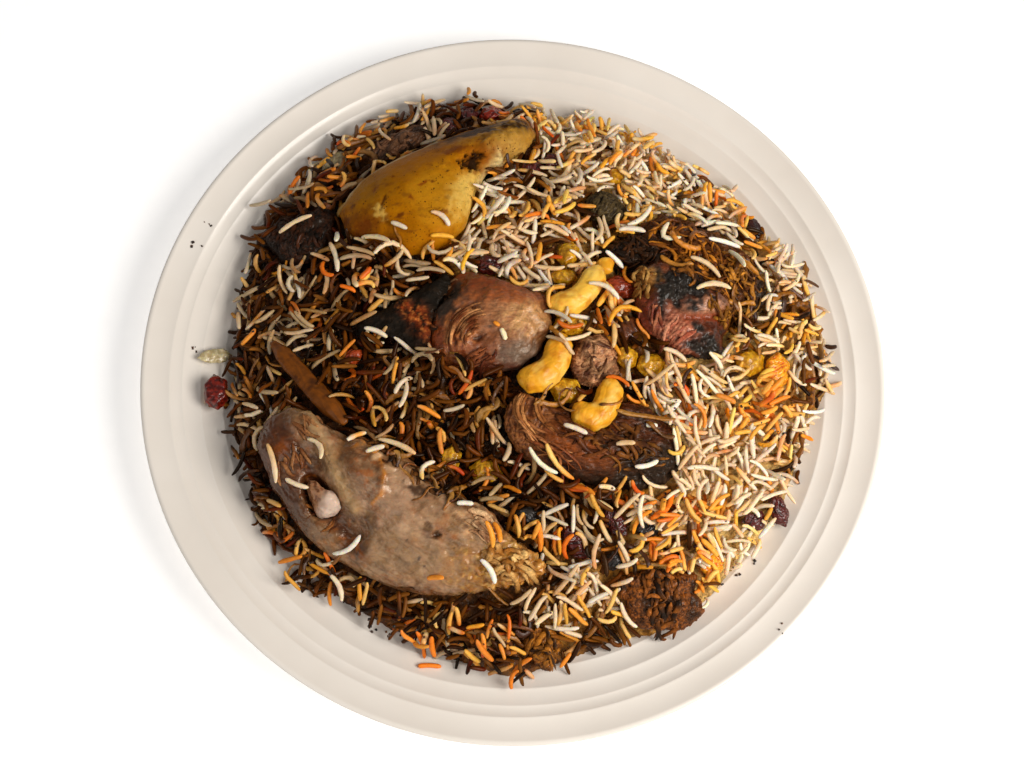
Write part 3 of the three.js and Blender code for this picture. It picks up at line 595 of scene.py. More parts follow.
def rods(name, laid, sides=6):
    """Slender things as one mesh: each a line, a half width, how flat, how it rolls, and its colours"""
    corners, faces, coats = [], [], []
    round_turn = np.arange(sides) * 2 * math.pi / sides
    for line, wide, high, roll, rows in laid:
        rings = len(rows)
        stations = np.linspace(0, 1, rings)
        stations = 0.03 + 0.94 * (stations - 0.07 * np.sin(2 * math.pi * stations))
        ends = np.arange(len(line))
        smooth = np.stack([np.interp(stations * ends[-1], ends, line[:, i]) for i in range(3)], -1)
        ahead = np.gradient(smooth, axis=0)
        ahead /= np.linalg.norm(ahead, axis=1)[:, None] + 1e-9
        side = np.cross((0, 0, 1), ahead)
        side /= np.linalg.norm(side, axis=1)[:, None] + 1e-9
        over = np.cross(ahead, side)
        side, over = (side * np.cos(roll)[:, None] + over * np.sin(roll)[:, None],
                      over * np.cos(roll)[:, None] - side * np.sin(roll)[:, None])
        ring = np.cos(round_turn)[:, None] * side[:, None]
        ring = ring + high * np.sin(round_turn)[:, None] * over[:, None]
        tube = smooth[:, None] + ring * wide[:, None, None]
        first = len(corners)
        corners += tube.reshape(-1, 3).tolist() + [line[0].tolist(), line[-1].tolist()]
        tips = (first + sides * rings, first + sides * rings + 1)
        last = first + (rings - 1) * sides
        for k in range(sides):
            n = (k + 1) % sides
            for a in range(first, last, sides):
                faces.append((a + k, a + n, a + n + sides, a + k + sides))
            faces.append((tips[0], first + n, first + k))
            faces.append((tips[1], last + k, last + n))
        coats.append(np.concatenate([np.repeat(rows, sides, 0), rows[:1], rows[-1:]]))
    mesh = bpy.data.meshes.new(name)
    mesh.from_pydata((np.array(corners) * MM).tolist(), [], faces)
    mesh.shade_smooth()
    piece = bpy.data.objects.new(name, mesh)
    bpy.context.scene.collection.objects.link(piece)
    put_coat(piece, np.concatenate(coats))
    return piece


# Lamb, slow-cooked and torn in large pieces: pink-brown fibres, grey fat and jelly, and black
# char where the pot was hottest. Each piece is grown from its solid, smoothed, then marked.
def grown(name, node, step, smoothing):
    """The solid of a node as one even mesh, so many millimetres fine, rounded by so many passes"""
    if bpy.context.object and bpy.context.object.mode != "OBJECT":
        bpy.ops.object.mode_set(mode="OBJECT")
    bpy.ops.object.select_all(action="DESELECT")
    piece = bpy.data.objects.new(name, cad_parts[node].data.copy())
    bpy.context.scene.collection.objects.link(piece)
    piece.data.materials.clear()
    bpy.context.view_layer.objects.active = piece
    piece.select_set(True)
    bpy.ops.object.mode_set(mode="EDIT")
    bpy.ops.mesh.select_all(action="SELECT")
    bpy.ops.mesh.remove_doubles(threshold=0.00001)
    bpy.ops.object.mode_set(mode="OBJECT")
    even = piece.modifiers.new("even", "REMESH")
    even.mode = "VOXEL"
    even.voxel_size = step * MM
    bpy.ops.object.modifier_apply(modifier="even")
    ease = piece.modifiers.new("ease", "SMOOTH")
    ease.factor = 0.5
    ease.iterations = smoothing
    bpy.ops.object.modifier_apply(modifier="ease")
    refine = piece.modifiers.new("refine", "SUBSURF")
    refine.levels = refine.render_levels = 1
    bpy.ops.object.modifier_apply(modifier="refine")
    bpy.ops.object.shade_smooth()
    return piece


def puff(piece, at, lift):
    """Each corner moved out of the surface by its lift, in millimetres"""
    flat = np.empty(len(piece.data.vertices) * 3)
    piece.data.vertex_normals.foreach_get("vector", flat)
    put_places(piece, at + flat.reshape(-1, 3) * lift[:, None])


def strip(places, start, end, wide):
    """1 on a line between two spots of the plan, falling to 0 beside it"""
    (x0, y0), (x1, y1) = start, end
    x, y = places[:, 0], places[:, 1]
    length = (x1 - x0) ** 2 + (y1 - y0) ** 2 + 1e-9
    t = held(((x - x0) * (x1 - x0) + (y - y0) * (y1 - y0)) / length)
    away = np.hypot(x - x0 - t * (x1 - x0), y - y0 - t * (y1 - y0))
    return np.exp(-(away / wide) ** 2)


def spot(places, x, y, wide, tall=None, turn=0, ragged=0.0, seed=0, firm=1.5):
    """1 within an oval of the plan, falling to 0 past its edge, the edge ragged if asked"""
    c, s = math.cos(math.radians(turn)), math.sin(math.radians(turn))
    dx, dy = places[:, 0] - x, places[:, 1] - y
    away = np.hypot((dx * c + dy * s) / wide, (dy * c - dx * s) / (tall or wide))
    if ragged:
        away = away + ragged * cloud(places, 0.45 * min(wide, tall or wide) + 1, seed, 3)
    return 1 / (1 + np.exp(np.clip(4 * firm * (away - 1), -30, 30)))


def blot(coat, places, marks):
    """Ovals of other tones laid over a coat in turn: how much of each, the oval, and its tone"""
    for much, oval, tone in marks:
        wash(coat, much * spot(places, *oval), tone)


def threads(places, turn, across, along, seed=0, octaves=2):
    """Fibres: noise drawn out along a direction of the plan, sharp at its valleys"""
    c, s = math.cos(math.radians(turn)), math.sin(math.radians(turn))
    x, y, z = places.T
    bent = np.stack([x * c + y * s, y * c - x * s, z], -1)
    bent[:, 1] += 1.2 * across * cloud(places, 5 * across, seed + 3, 1)
    return 1 - 2.2 * np.abs(cloud(bent, (along, across, across), seed, octaves))


def cracks(places, size, seed=0):
    """Burnt crust: 0 in the cracks, near 1 on the flakes between them"""
    scaled = places / size + seed * 5.3 + 0.3 * cloud(places, size, seed, 2)[:, None]
    cell = np.floor(scaled).astype(int)
    nearest, next_one = np.full(len(places), 9.0), np.full(len(places), 9.0)
    for step in product((-1, 0, 1), repeat=3):
        x, y, z = [(cell[:, i] + step[i]) & 255 for i in range(3)]
        flake = cell + step + 0.5 + 0.45 * slants[shuffle[(shuffle[(shuffle[x] + y) & 255] + z) & 255]]
        away = np.linalg.norm(scaled - flake, axis=1)
        next_one = np.minimum(next_one, np.maximum(away, nearest))
        nearest = np.minimum(nearest, away)
    return held((next_one - nearest) * 2.2)


def roasted(name, turn, wet=0.22, fine=900, stretch=6, deep=0.0005, glow=0.0, flecked=0.85, oil=0.12,
            sheen=0.25):
    """Cooked meat: the coat's colour with fine fibres in it, wet but for where the coat is dry"""
    meat = Finish(name)
    attribute = meat.node("Attribute", attribute_name="coat")
    coat, dry = attribute.outputs["Color"], attribute.outputs["Alpha"]
    thread = meat.cloudy(fine, 3, 0.6, meat.spot((1 / stretch, 1, 1), -turn), 0.6)
    grit = meat.cloudy(fine * 0.8, 4, 0.7)
    broad = meat.cloudy(110, 3)
    varied = meat.mixed(flecked, coat, meat.steps(thread, (0.3, 0.4), (0.48, 0.95), (0.6, 1.2), (0.74, 1.6)),
                        "MULTIPLY")
    varied = meat.mixed(flecked * 0.7, varied, meat.steps(grit, (0.35, 0.5), (0.6, 1.25)), "MULTIPLY")
    wetness = meat.steps(broad, (0.35, wet), (0.65, wet + 0.2))
    meat.feed(meat.skin, {
        "Base Color": varied,
        "Roughness": meat.mixed(dry, wetness, 0.85),
        "Normal": meat.relief(grit, deep * 0.8, meat.relief(thread, deep)),
        "Subsurface Weight": glow,
        "Subsurface Radius": (0.004, 0.0015, 0.0008),
        "Subsurface Scale": 0.6,
        "Specular IOR Level": sheen,
        "Specular Tint": (1.0, 0.82, 0.64, 1),
        "Coat Weight": oil,
        "Coat Roughness": 0.1,
    })
    return meat.material


# Tones were picked in white light; roasting leaves less blue in all of them
BROWNED = np.array([1.0, 0.82, 0.54])


def dress(piece, material, slot, *nodes):
    """A finished piece takes its node's place, and what comes after rests on it"""
    piece.data.materials.append(material)
    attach(piece, "root")
    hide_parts(*nodes)
    np.maximum(carried, plumb(piece.data), out=carried)


# Torn fibres that lie on the meat, each a limp flat thread with its own two tones
torn = []


def lay_fibre(x, y, wide, dark, light, high=0.45):
    """One fibre along a line of the plan, sagging on to the meat under it"""
    z = drape(x, y, wide * high * 0.5, 0.02)
    press_into(carried, x, y, z, wide * 0.8)
    lit = held(0.5 + 0.5 * np.sin(np.linspace(0, chance.uniform(2, 7), 9) + chance.uniform(0, 6)))
    lit = lit * chance.uniform(0.3, 1)
    rows = np.array(shade(dark)) + (np.array(shade(light)) - np.array(shade(dark))) * lit[:, None]
    girth = wide * np.array([0.4, 0.75, 0.95, 1, 1, 1, 0.9, 0.75, 0.4]) * (1 + chance.normal(0, 0.16, 9))
    roll = chance.uniform(-0.5, 0.5) + np.linspace(0, chance.normal(0, 0.7), 9)
    torn.append((np.stack([x, y, z], -1), girth, high, roll, rows * BROWNED))


def tear(count, middle, reach, turn, spread, length, wide, dark, light, fan=0.0, bend=0.4):
    """A tuft of fibres over an oval of the plan, along one direction or fanned out from a side"""
    for _ in range(count):
        away, around = math.sqrt(chance.uniform()), chance.uniform(0, 2 * math.pi)
        dx, dy = away * reach[0] * math.cos(around), away * reach[1] * math.sin(around)
        c, s = math.cos(math.radians(turn)), math.sin(math.radians(turn))
        way = math.radians(turn + chance.normal(0, spread) + fan * dy / reach[1])
        x, y, _ = curl(middle[0] + dx * c - dy * s, middle[1] + dx * s + dy * c, way,
                       chance.uniform(*length), chance.normal(0, bend), chance.normal(0, bend), 12)
        sway = chance.uniform(0, 0.5) * np.sin(np.linspace(0, chance.uniform(3, 8), 12))
        lay_fibre(x - sway * math.sin(way), y + sway * math.cos(way), chance.uniform(*wide), dark, light)


# Middle piece: smooth pink-tan meat, browned along its far edge, with fibres curled at its left
middle = grown("lamb_middle_cut", "lamb_middle", 1.4, 6)
at = places_of(middle)
around = np.hypot((at[:, 0] + 15.5) / 0.95, (at[:, 1] - 1.5) / 1.15)
turned = np.arctan2(at[:, 1] - 1.5, at[:, 0] + 15.5) % (2 * math.pi)
left_side = held(1.6 - np.abs(turned - 2.6) / 0.9)
curled = spot(at, -22, 6, 10, 14, 10, 0.4, 3) * left_side
round_curl = np.stack([around, turned * 9, at[:, 2]], -1)
ripple = 1 - 2.4 * np.abs(cloud(round_curl, (2.4, 9, 5), 5, 3))
lift = 0.55 * curled * ripple + 1.3 * cloud(at, 9, 8, 3) + 0.2 * threads(at, 62, 1.8, 12, 6)
lift += 0.12 * cloud(at, 1.8, 21, 2)
lift += 0.5 * spot(at, -8, -9, 12, 5, 0, 0.4, 12) * threads(at, 30, 1.6, 9, 13)
lift -= 1.6 * spot(at, -15.5, 3.2, 2.4, 1.3, 30, 0.4, 9) + 1.5 * strip(at, (-34, 22), (-22, 31), 2.5)
puff(middle, at, lift)
coat = tones(len(at), "8a5432")
# Pale pink-tan on the top and at its right, in two ovals and a streaked wash: partly the meat's own pale
# tone, partly painted highlight.
blot(coat, at, [
    (0.9, (-3, 14, 13, 11, -30, 0.5, 1), "b08878"), (0.8, (7, 13, 8, 8, -10, 0.6, 10), "ccaa8c"),
])
wash(coat, 0.5 * spot(at, 4, 10, 10, 9, 0, 0.5, 14) * held(threads(at, 55, 1.2, 9, 15)), "ecd4b0")
blot(coat, at, [
    (0.9, (-6, 28, 17, 6.5, -8, 0.4, 3), "7c3a10"), (0.7, (-4, 22, 12, 4.5, -8, 0.5, 4), "a86028"),
])
wash(coat, 0.95 * curled, "9a5a30")
wash(coat, 0.75 * curled * held(ripple), "d89a68")
wash(coat, 0.9 * curled * held(-ripple), "3a1408")
wash(coat, 0.7 * spot(at, -20, -4, 8, 6, 20, 0.5, 19) * held(0.6 + cloud(at, 2, 20, 3)), "6e2c14")
wash(coat, 0.9 * spot(at, -34, 6, 4.5, 9, 12, 0.4, 16), "8a4010")
leathery = spot(at, -33, 24, 11, 10, 25, 0.7, 5, 2.5)
wash(coat, 0.97 * leathery, "0a0604")
# Painted shade: the last oval darkens the small hole of the fold, sunk into the meat above; the other ovals
# are the meat's own tones.
blot(coat, at, [
    (0.8, (15, 20, 4, 7, 20, 0.6, 7), "4a1c0c"), (0.9, (3, -5, 11, 8, 15, 0.35, 2), "68646e"),
    (0.7, (14, 1, 6, 9, 15, 0.5, 11), "5c3c20"), (0.8, (-12, -12, 15, 6.5, 0, 0.5, 12), "642810"),
    (0.95, (-15.5, 3.2, 2.4, 1.3, 30, 0.4, 9), "3a1408"),
])
for x, y, size in ((-10.5, 7.4, 0.9), (1.5, -7, 0.5), (5, -2, 0.4), (-9, 0.5, 0.5), (-2, -9, 0.6)):
    wash(coat, 0.9 * spot(at, x, y, size, 0.7 * size), "24120a")
put_coat(middle, coat * BROWNED * (0.95, 0.84, 0.68), 0.05 + 0.5 * leathery)
middle_finish = roasted("lamb_middle_finish", 62, 0.26, deep=0.0003, glow=0.15, flecked=0.6, sheen=0.75)
dress(middle, middle_finish, "lamb_meat", "lamb_middle")
CURLED_FIBRES = 24
for _ in range(CURLED_FIBRES):
    wide_of = chance.uniform(3.8, 15)
    begun = math.radians(chance.uniform(72, 130))
    sweep = np.linspace(begun, begun + math.radians(chance.uniform(35, 95)), 12)
    x = -15.5 + chance.normal(0, 0.4) + wide_of * 0.95 * np.cos(sweep)
    y = 1.5 + chance.normal(0, 0.4) + wide_of * 1.18 * np.sin(sweep)
    lay_fibre(x, y, chance.uniform(0.35, 0.95), "6a3416", "ecb488", 0.24)
tear(26, (-36.5, 15), (2.5, 10), 5, 45, (3, 8), (0.5, 1.1), "120a06", "7a4420", 0, 1.2)
tear(20, (-17, -7), (8, 4), 25, 24, (6, 13), (0.5, 0.9), "4c1c0c", "ac6a48", 0, 0.9)
tear(12, (-31, 26), (7, 4), 35, 50, (3, 8), (0.5, 1.0), "1a100a", "8a6a54", 0, 1.4)
tear(26, (-14, -13), (20, 2.6), -14, 50, (3, 9), (0.4, 0.9), "2a1008", "9a6040", 0, 1.3)

# Flap: thin leathery skin, nearly black, torn open over a strip of orange-brown meat
flap = grown("skin_flap", "lamb_skin_flap", 0.8, 5)
at = places_of(flap)
crust = cracks(at, 2.4, 4)
puff(flap, at, 0.8 * cloud(at, 5, 2, 3) + 0.2 * crust)
coat = tones(len(at), "090604")
wash(coat, 0.6 * held(cloud(at, 3, 4, 3)), "2c1e14")
opened = strip(at, (-47, 21), (-41, 16), 2.6) + strip(at, (-41, 16), (-35, 7), 3.6)
wash(coat, 0.95 * held(opened * (0.6 + 1.2 * cloud(at, 3, 5, 3))), "8c3c12")
wash(coat, 0.6 * held(opened * cloud(at, 1.6, 6, 2) * 2), "d08448")
wash(coat, 0.8 * spot(at, -32, 7, 4, 6, 0, 0.5, 3), "6a3012")
put_coat(flap, coat * BROWNED, 0.6)
dress(flap, roasted("lamb_skin_finish", 30, 0.4, 700, 3, 0.0006, oil=0.04), "lamb_skin", "lamb_skin_flap")

# Charred piece: a fan of pink fibres and a smooth glossy band between black burnt patches
charred = grown("lamb_charred_cut", "lamb_charred", 1.2, 7)
at = places_of(charred)
fan_turn = np.degrees(np.arctan2(at[:, 1] + 12, at[:, 0] - 52))
fan = spot(at, 67, 8, 8, 10, 20, 0.25, 15)
rays = np.sin(fan_turn * 1.5 + 2.5 * cloud(at, 5, 11, 2)) * 0.6 + 0.9 * cloud(at, 1.5, 12, 2)
burnt = held(spot(at, 71, 28, 11, 8.5, -25, 0.8, 12, 3) + spot(at, 80, -2, 10, 9, 20, 0.8, 13, 3)
             + spot(at, 60, -3, 7, 6.5, 0, 0.8, 14, 3) + strip(at, (61, 25), (61, 15), 1.8))
band = spot(at, 79.7, 20.4, 8.5, 3.2, 12, 0.2, 16)
crust = cracks(at, 1.9, 2)
lift = 0.34 * fan * rays * (1 - burnt) + burnt * (0.7 * crust - 0.4 + 1.1 * cloud(at, 2.4, 16, 3))
lift += 1.6 * cloud(at, 9, 17, 3) + 0.14 * cloud(at, 1.6, 25, 2)
lift += 0.9 * band - 0.8 * strip(at, (72, 14.5), (88, 17.5), 1.6)
puff(charred, at, lift)
coat = tones(len(at), "4c2418")
wash(coat, 0.7 * held(cloud(at, 4, 20, 3)), "7c4020")
wash(coat, 0.95 * fan, "b06e62")
wash(coat, 0.75 * fan * held(rays), "e4aa9a")
wash(coat, 0.85 * fan * held(-rays), "561a14")
wash(coat, 0.9 * strip(at, (72, 14.5), (88, 17.5), 2.2), "8a3812")
wash(coat, 0.95 * band, "be9082")
blot(coat, at, [
    (0.9, (93.4, 20, 5, 6, 15, 0.4, 18), "8c5c1c"), (0.85, (54.5, 32, 6, 5, 0, 0.4, 19), "a27a44"),
    (0.85, (56.5, 15, 3.6, 7, 0, 0.4, 21), "884038"), (0.9, (48, 25, 7, 7, 0, 0.4, 22), "6e2c14"),
])
wash(coat, 0.97 * burnt, "161412")
# Painted highlight: pale grey over the raised flakes of the burnt crust.
wash(coat, 0.6 * burnt * held(crust + cloud(at, 2, 23, 3) - 0.5), "54504c")
put_coat(charred, coat * (BROWNED + (1 - BROWNED) * 0.8 * burnt[:, None]), 0.05 + 0.75 * burnt)
dress(charred, roasted("lamb_charred_finish", 52, 0.16, 800, 5, 0.0006, 0.1, 0.85, 0.3), "lamb_meat",
      "lamb_charred")
tear(12, (66.5, 7), (6, 6), 52, 8, (5, 11), (0.5, 0.9), "a4584c", "dca498", 30, 0.2)
tear(8, (56.8, 15), (1.5, 5), 84, 10, (5, 10), (0.5, 0.9), "6a2c24", "b87c68")
tear(26, (54, 31), (7, 5), 60, 40, (3, 8), (0.5, 1.0), "7a5020", "ccac70", 0, 1.2)
tear(44, (92, 20), (6, 11), 80, 50, (3, 10), (0.4, 1.1), "4a2608", "c08a30", 0, 1.3)
tear(26, (74, -10), (14, 4), -8, 50, (3, 9), (0.4, 1.0), "3a1c08", "a87830", 0, 1.3)
tear(30, (78, 33), (13, 4), -20, 40, (4, 11), (0.4, 1.0), "2a160a", "b0742c", 0, 1.3)

# Shredded piece behind it: loose glossy strands, olive brown, almost black at the far left
shredded = grown("lamb_shredded_cut", "lamb_shredded", 1.2, 6)
at = places_of(shredded)
fibre = threads(at, -32, 1.7, 11, 21)
puff(shredded, at, 0.6 * fibre + 1.9 * cloud(at, 5, 22, 3))
coat = tones(len(at), "402008")
wash(coat, 0.8 * held(fibre), "7a4818")
wash(coat, 0.9 * held(-fibre), "160a04")
blot(coat, at, [
    (0.9, (48, 47, 15, 12, 0, 0.3, 23), "140c06"), (0.9, (106, 30, 5, 12, 0, 0.3, 24), "160e08"),
])
put_coat(shredded, coat * BROWNED, 0.1)
dress(shredded, roasted("lamb_shredded_finish", -32, 0.2, 800, 5, 0.0007), "lamb_brown",
      "lamb_shredded")
tear(40, (50, 46), (13, 9), -32, 50, (5, 15), (0.4, 1.1), "120804", "5a3412", 0, 1.5)
tear(84, (80, 45), (24, 10), -34, 48, (6, 18), (0.35, 0.95), "5a2c08", "eca034", 0, 1.7)
tear(40, (97, 38), (9, 9), -48, 45, (5, 14), (0.35, 0.95), "42220a", "d89a3c", 0, 1.5)

# Piece in front of the nuts: a smooth brown ridge, tan strings at its left, char along its front
lower = grown("lamb_lower_cut", "lamb_lower", 1.2, 6)
at = places_of(lower)
left = spot(at, 3, -30, 11, 14, 0, 0.2, 31)
fibre = left * threads(at, 78, 1.4, 12, 32) + (1 - left) * threads(at, -14, 1.5, 14, 33)
end = held(spot(at, 54, -54, 18, 8, 12, 0.35, 34) + strip(at, (22, -54), (48, -60), 4.5)
           + spot(at, 66, -46, 7, 8, 0, 0.3, 38))
ridge = strip(at, (16, -37), (36, -46), 4.5)
crust = cracks(at, 2.2, 7)
lift = 0.5 * fibre * (1 - end) * (1 - ridge) + 1.2 * cloud(at, 7, 35, 3) + 0.14 * cloud(at, 1.6, 41, 2)
lift += end * (0.7 * crust - 0.3) + 1.2 * ridge
puff(lower, at, lift)
coat = tones(len(at), "3a1a0c")
wash(coat, 0.7 * held(fibre), "6e3a18")
wash(coat, 0.8 * held(cloud(at, 3.5, 39, 3)), "140a06")
wash(coat, 0.85 * left, "784424")
wash(coat, 0.6 * left * held(fibre), "b88456")
wash(coat, 0.8 * left * held(-fibre), "38180a")
wash(coat, 0.95 * ridge, "8a4a1c")
wash(coat, 0.95 * end, "241a15")
# Painted highlight: grey over the raised flakes of the charred front.
wash(coat, 0.6 * end * held(crust * 1.4 - 0.7), "4a3c34")
put_coat(lower, coat * BROWNED * 0.95, 0.08 + 0.6 * end)
dress(lower, roasted("lamb_lower_finish", -14, 0.2, 800, 6, 0.0006), "lamb_brown", "lamb_lower")
for k in range(9):
    sweep = np.linspace(0, 1, 12)
    x = 1.5 - 3.6 * np.sin(math.pi * sweep * 0.9) + 6 * sweep ** 2 + 0.55 * k * (1 - 0.5 * sweep)
    y = -19.5 - 17.5 * sweep + chance.normal(0, 0.4)
    lay_fibre(x + chance.normal(0, 0.25), y, chance.uniform(0.4, 0.8), "94603a", "dca878")
for x_shift in (0, 1.1):
    sweep = np.linspace(0, 1, 12)
    x = 10 + x_shift - 3.5 * np.sin(math.pi * sweep * 0.8) + 8 * sweep ** 2
    lay_fibre(x, -19 - 18 * sweep, 0.7, "8a5630", "cf9a68")
tear(16, (26, -38), (13, 5), -26, 20, (7, 16), (0.6, 1.1), "401c0a", "945a2c", 0, 0.8)
tear(16, (13, -41), (11, 4), -38, 14, (9, 18), (0.35, 0.8), "7e4426", "d09a70", 0, 0.7)
tear(22, (48, -44), (14, 7), -10, 26, (5, 13), (0.5, 1.0), "1c0e06", "a8702c", 0, 1.0)
tear(18, (46, -40), (14, 6), -8, 24, (6, 15), (0.7, 1.3), "3a1c0a", "8e5c28", 0, 0.9)

# The big joint: pale grey-pink meat under a film of fat, a groove with jelly and a white knuckle
joint = grown("lamb_joint_cut", "lamb_joint", 1.5, 7)
at = places_of(joint)
far_lobe = spot(at, -98, -44, 10, 24, 18, 0.15, 41, 2)
groove = held(strip(at, (-91, -40), (-83, -54), 4) + strip(at, (-82, -58), (-64, -82), 4.6))
seam = strip(at, (-86, -26), (-66, -66), 2.6)
end_fibres = spot(at, -14, -74, 13, 8, -35, 0.3, 42)
fat_end = spot(at, -2, -90, 18, 9, 8, 0.5, 43)
veins = np.abs(cloud(at, 11, 44, 3))
lift = 1.0 * cloud(at, 13, 44, 2) + 0.35 * cloud(at, 4.5, 45, 2) + 1.4 * spot(at, -62, -40, 9, 8, 30, 0.2, 67)
lift += 0.7 * end_fibres * threads(at, -42, 2.6, 12, 47) + fat_end * 2.4 * cloud(at, 3.4, 48, 3)
lift += 0.3 * threads(at, -38, 2.2, 16, 74) + 0.14 * cloud(at, 1.9, 75, 2)
lift += 1.5 * seam - 0.6 * groove - 1.2 * strip(at, (-64, -26), (-72, -44), 2.4)
lift -= 2.0 * spot(at, -31.8, -78.8, 1.5, 1.1, 0, 0.4, 62) + 0.8 * spot(at, -60, -51, 3, 8, 20, 0.2, 49)
ring_line = [(-67, -42), (-61, -40), (-56, -46), (-53.5, -54), (-54.5, -62), (-59, -65)]
golden_ring = np.max([strip(at, a, b, 0.9) for a, b in zip(ring_line, ring_line[1:])], 0)
lift += 0.6 * golden_ring
puff(joint, at, lift)
coat = tones(len(at), "8e6e54")
wash(coat, 0.85 * held(cloud(at, 12, 50, 4) * 2.6 + 0.1), "c6aca2")
wash(coat, 0.9 * held(cloud(at, 9, 51, 4) * 3 - 0.1), "5c3a20")
wash(coat, 0.7 * held(cloud(at, 6, 71, 4) * 2.4 - 0.4), "aa7048")
wash(coat, 0.5 * held(threads(at, -38, 1.6, 14, 72) - 0.3), "dac4b2")
wash(coat, 0.5 * held(1 - veins * 12), "94705a")
# Painted highlight: the first oval, pale lavender-grey at the middle of the joint, stands for the lamp's
# sheen on it.
blot(coat, at, [
    (0.7, (-48, -64, 13, 9, -35, 0.6, 52), "ccb4b0"), (0.6, (-66, -52, 6, 9, 20, 0.6, 77), "74543e"),
    (0.5, (-34, -90, 12, 5, -20, 0.6, 78), "c4ac9c"), (0.5, (-50, -84, 26, 8, -10, 0.5, 53), "a8907a"),
])
wash(coat, 0.97 * far_lobe, "4c220a")
wash(coat, 0.6 * far_lobe * held(cloud(at, 5, 73, 4) * 2.2), "905c34")
wash(coat, 0.6 * far_lobe * held(cloud(at, 7, 76, 3) * 2.2), "7e6050")
blot(coat, at, [
    (0.7, (-103, -34, 7, 12, 20, 0.4, 54), "5c3012"), (0.8, (-96, -62, 7, 17, 30, 0.5, 63), "50290f"),
    (0.95, (-96.2, -39.4, 3.4, 2.8, 0, 0.4, 55), "9a5410"),
])
wash(coat, 0.95 * groove, "4c240a")
# Painted highlight: amber glints in patches over the jelly of the groove.
wash(coat, 0.7 * groove * held(cloud(at, 3, 68, 3) * 3 - 0.5), "a86426")
wash(coat, 0.9 * seam * (1 - groove), "c8b094")
wash(coat, 0.6 * strip(at, (-64, -26), (-72, -44), 3), "8a6038")
wash(coat, 0.7 * spot(at, -60, -52, 5, 11, 20, 0.5, 57) * held(cloud(at, 3, 58, 3) * 3), "b06a30")
wash(coat, 0.95 * golden_ring * held(0.8 + cloud(at, 2, 69, 2)), "cc8c38")
# Painted highlight: a small pale pink spot.
wash(coat, 0.9 * spot(at, -56.3, -45.9, 2.6, 1.3, 35, 0.2, 64), "f6dccc")
wash(coat, 0.9 * end_fibres * held(cloud(at, 3, 59, 2) * 2), "ecccb4")
wash(coat, 0.95 * fat_end, "c48e38")
# Painted highlight: pale gold patches over the fat end.
wash(coat, 0.9 * fat_end * held(cloud(at, 2.5, 60, 2) * 2.4), "fcdc94")
wash(coat, 0.7 * fat_end * held(-cloud(at, 2.2, 65, 2) * 2.4), "6a3a10")
# Painted shade: the second oval darkens the small hole, which is sunk into the meat above; the first is a
# dark scaly patch of the meat.
blot(coat, at, [
    (0.9, (-40, -60, 5, 2.6, -20, 0.8, 61), "38200f"),
    (0.95, (-31.8, -78.8, 1.7, 1.3, 0, 0.5, 62), "240e06"),
])
for x, y, size in ((-92, -34, 0.6), (-76, -44, 0.5), (-39, -87, 0.9), (-44, -80, 0.5), (-37, -90, 0.6),
                   (-62, -78, 0.5), (-25, -84, 0.5), (-99, -55, 0.6)):
    wash(coat, 0.85 * spot(at, x, y, size, 0.7 * size, 40, 0.3), "3a200f")
rim_dark = held(strip(at, (-116, -40), (-96, -74), 4.5) + strip(at, (-96, -74), (-66, -95), 4)
                + strip(at, (-66, -95), (-20, -104), 4))
wash(coat, 0.85 * rim_dark * held(0.7 + cloud(at, 4, 66, 3)), "6e421c")
put_coat(joint, coat * BROWNED * (0.8, 0.77, 0.72), 0.02)
joint_finish = roasted("lamb_joint_finish", -38, 0.18, 300, 2, 0.0004, 0.25, 0.45, 0.25, 0.5)
dress(joint, joint_finish, "lamb_pale", "lamb_joint")
tear(16, (-14, -75), (9, 5), -38, 18, (5, 12), (0.7, 1.2), "b48c74", "f4dcc6", 0, 0.8)
tear(22, (1, -91), (13, 6), -20, 30, (4, 11), (0.8, 1.7), "a06c2c", "ffe6b0", 0, 1.2)
tear(34, (-42, -51), (24, 2.6), -37, 40, (4, 12), (0.4, 1.0), "1a0c06", "8a5a28", 0, 1.5)
tear(7, (-84, -30), (3, 6), -55, 16, (6, 13), (0.6, 1.0), "7a5034", "b88c68", 0, 0.8)
tear(9, (-80, -66), (4, 13), 40, 30, (4, 11), (0.4, 0.8), "4a220c", "a06a38", 0, 1.0)
tear(9, (-93, -46), (3, 8), -60, 20, (5, 11), (0.5, 1.0), "6a3c20", "c89a74", 0, 0.9)
tear(34, (-62, -96), (28, 4), -12, 40, (4, 12), (0.4, 1.1), "2a1408", "a87438", 0, 1.4)
tear(24, (-106, -60), (12, 3), -66, 40, (4, 11), (0.4, 1.0), "2a1408", "8a5a28", 0, 1.4)

